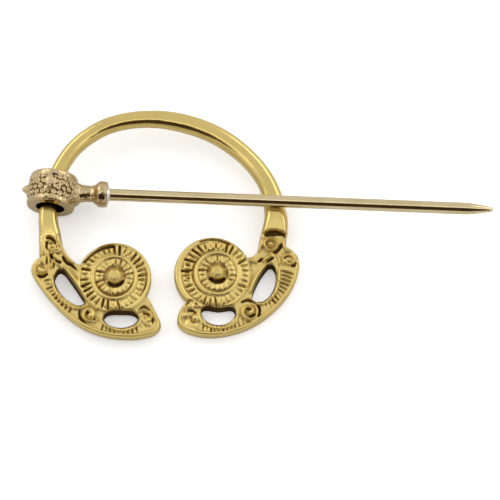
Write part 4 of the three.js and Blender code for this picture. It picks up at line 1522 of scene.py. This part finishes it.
class BROOCH_OT_pin_head(bpy.types.Operator):
    """Cast the barrel-shaped pin head with its grains, knobs, neck and collar"""

    bl_idname = "brooch.pin_head"
    bl_label = "Pin head"

    def execute(self, context):
        lean = Matrix.Rotation(math.radians(HEAD_LEAN), 4, "Z")
        shells = [barrel_mesh(), joined("ridges", [ridge_mesh(*ridge) for ridge in RIDGES])]
        shells += [knob_mesh(**knob) for knob in KNOBS]
        shells.append(run_tree(rosettes_tree(), grain_points(), {}))
        for shell in shells:
            shell.transform(lean)
        shells.append(turned(NECK, "X", NECK_SIDES, "neck"))
        mesh = dented(remeshed(joined("pin_head", shells), VOXEL, 1, FACES_KEPT), *HEAD_DENT)
        hollow = mesh_hollows(mesh, HEAD_PASSES)
        co = places_and_normals(mesh)[0] @ np.asarray(lean.to_3x3())
        bright = (np.abs(co[:, 1]) > RUBBED_ALONG) | (co[:, 0] > RUBBED_BEYOND)
        in_bore = np.hypot(co[:, 0], co[:, 2]) < BORE + BORE_MARGIN
        # painted shade: the inside of the bore is painted dark
        hollow[in_bore & (np.abs(co[:, 1]) < BARREL_HALF - BORE_MARGIN)] = BORE_SHADE
        dressed("pin_head_casting", mesh, pin_matrix(), "Head brass", hollow,
                np.where(bright, RUBBED, 0.0), "pin", "pin_head", "head_brass")
        return {"FINISHED"}


class BROOCH_OT_rod(bpy.types.Operator):
    """Draw the rod with its blunt point, and the ring of solder at the collar"""

    bl_idname = "brooch.rod"
    bl_label = "Rod"

    def execute(self, context):
        shaft = [(x, ROD) for x in np.linspace(ROD_START, ROD_TAPER, ROD_ROWS)]
        rod = turned([(ROD_START, ROD_ROOT), *shaft, *ROD_POINT], "X", ROD_SIDES, "rod")
        outline = [(SOLDER_AT + x, ROD + r) for x, r in SOLDER_PROFILE]
        bead = turned(outline, "X", ROD_SIDES, "solder", closed=True)
        for name, mesh, brass, node, slot in (
            ("pin_rod", rod, "Rod brass", "pin_shaft", "rod_brass"),
            ("solder_ring", bead, "Solder", None, None),
        ):
            plain = np.zeros(len(mesh.vertices))
            dressed(name, mesh, pin_matrix(), brass, plain, plain, "pin", node, slot)
        return {"FINISHED"}


class BROOCH_OT_stage(bpy.types.Operator):
    """Lay a pale floor, light it softly and set the camera above it"""

    bl_idname = "brooch.stage"
    bl_label = "Stage"

    def execute(self, context):
        scene = context.scene
        corners = [(x * FLOOR_HALF, y * FLOOR_HALF, 0) for x, y in ((-1, -1), (1, -1), (1, 1), (-1, 1))]
        floor = object_from("floor", mesh_from("floor", corners, [(0, 1, 2, 3)]))
        paint, tree, shader = new_material("Floor paint")
        seen = add_node(tree, "ShaderNodeLightPath").outputs["Is Camera Ray"]
        feed(tree, shader, {
            "Base Color": (*scene.brooch.floor_colour, 1), "Roughness": FLOOR_ROUGHNESS,
            "Emission Color": (1, 1, 1, 1),
            "Emission Strength": calc(tree, "MULTIPLY", seen, FLOOR_GLOW),
        })
        floor.data.materials.append(paint)

        scene.world = studio_world()
        for name, place in SOFTBOXES.items():
            softbox(name, place)

        camera = object_from("camera", bpy.data.cameras.new("camera"))
        target = ring_matrix() @ Vector((0, 0, 0))
        target.z = 0
        elevation = math.radians(CAMERA_ELEVATION)
        back = Vector((0, -math.cos(elevation), math.sin(elevation)))
        camera.location = target + back * CAMERA_DISTANCE
        camera.rotation_euler = (-back).to_track_quat("-Z", "Y").to_euler()
        adjusted(camera.data, lens=CAMERA_LENS, sensor_width=CAMERA_SENSOR,
                 clip_start=CAMERA_CLIP[0], clip_end=CAMERA_CLIP[1])
        scene.camera = camera
        scene.view_settings.view_transform = "Standard"
        return {"FINISHED"}


class BROOCH_PT_panel(bpy.types.Panel):
    """Brooch builder"""

    bl_idname = "BROOCH_PT_panel"
    bl_label = "Penannular brooch"
    bl_space_type = "VIEW_3D"
    bl_region_type = "UI"
    bl_category = "Brooch"

    def draw(self, context):
        for key in BroochSettings.__annotations__:
            self.layout.prop(context.scene.brooch, key)
        for step in STEPS:
            self.layout.operator(step.bl_idname)


STEPS = (BROOCH_OT_ring, BROOCH_OT_pin_head, BROOCH_OT_rod, BROOCH_OT_stage)
CLASSES = (BroochSettings, *STEPS, BROOCH_PT_panel)


def register():
    for item in CLASSES:
        bpy.utils.register_class(item)
    bpy.types.Scene.brooch = bpy.props.PointerProperty(type=BroochSettings)


def unregister():
    del bpy.types.Scene.brooch
    for item in reversed(CLASSES):
        bpy.utils.unregister_class(item)


def main():
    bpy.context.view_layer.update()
    register()
    bpy.ops.brooch.ring()
    bpy.ops.brooch.pin_head()
    bpy.ops.brooch.rod()
    bpy.ops.brooch.stage()


if __name__ == "__main__":
    main()
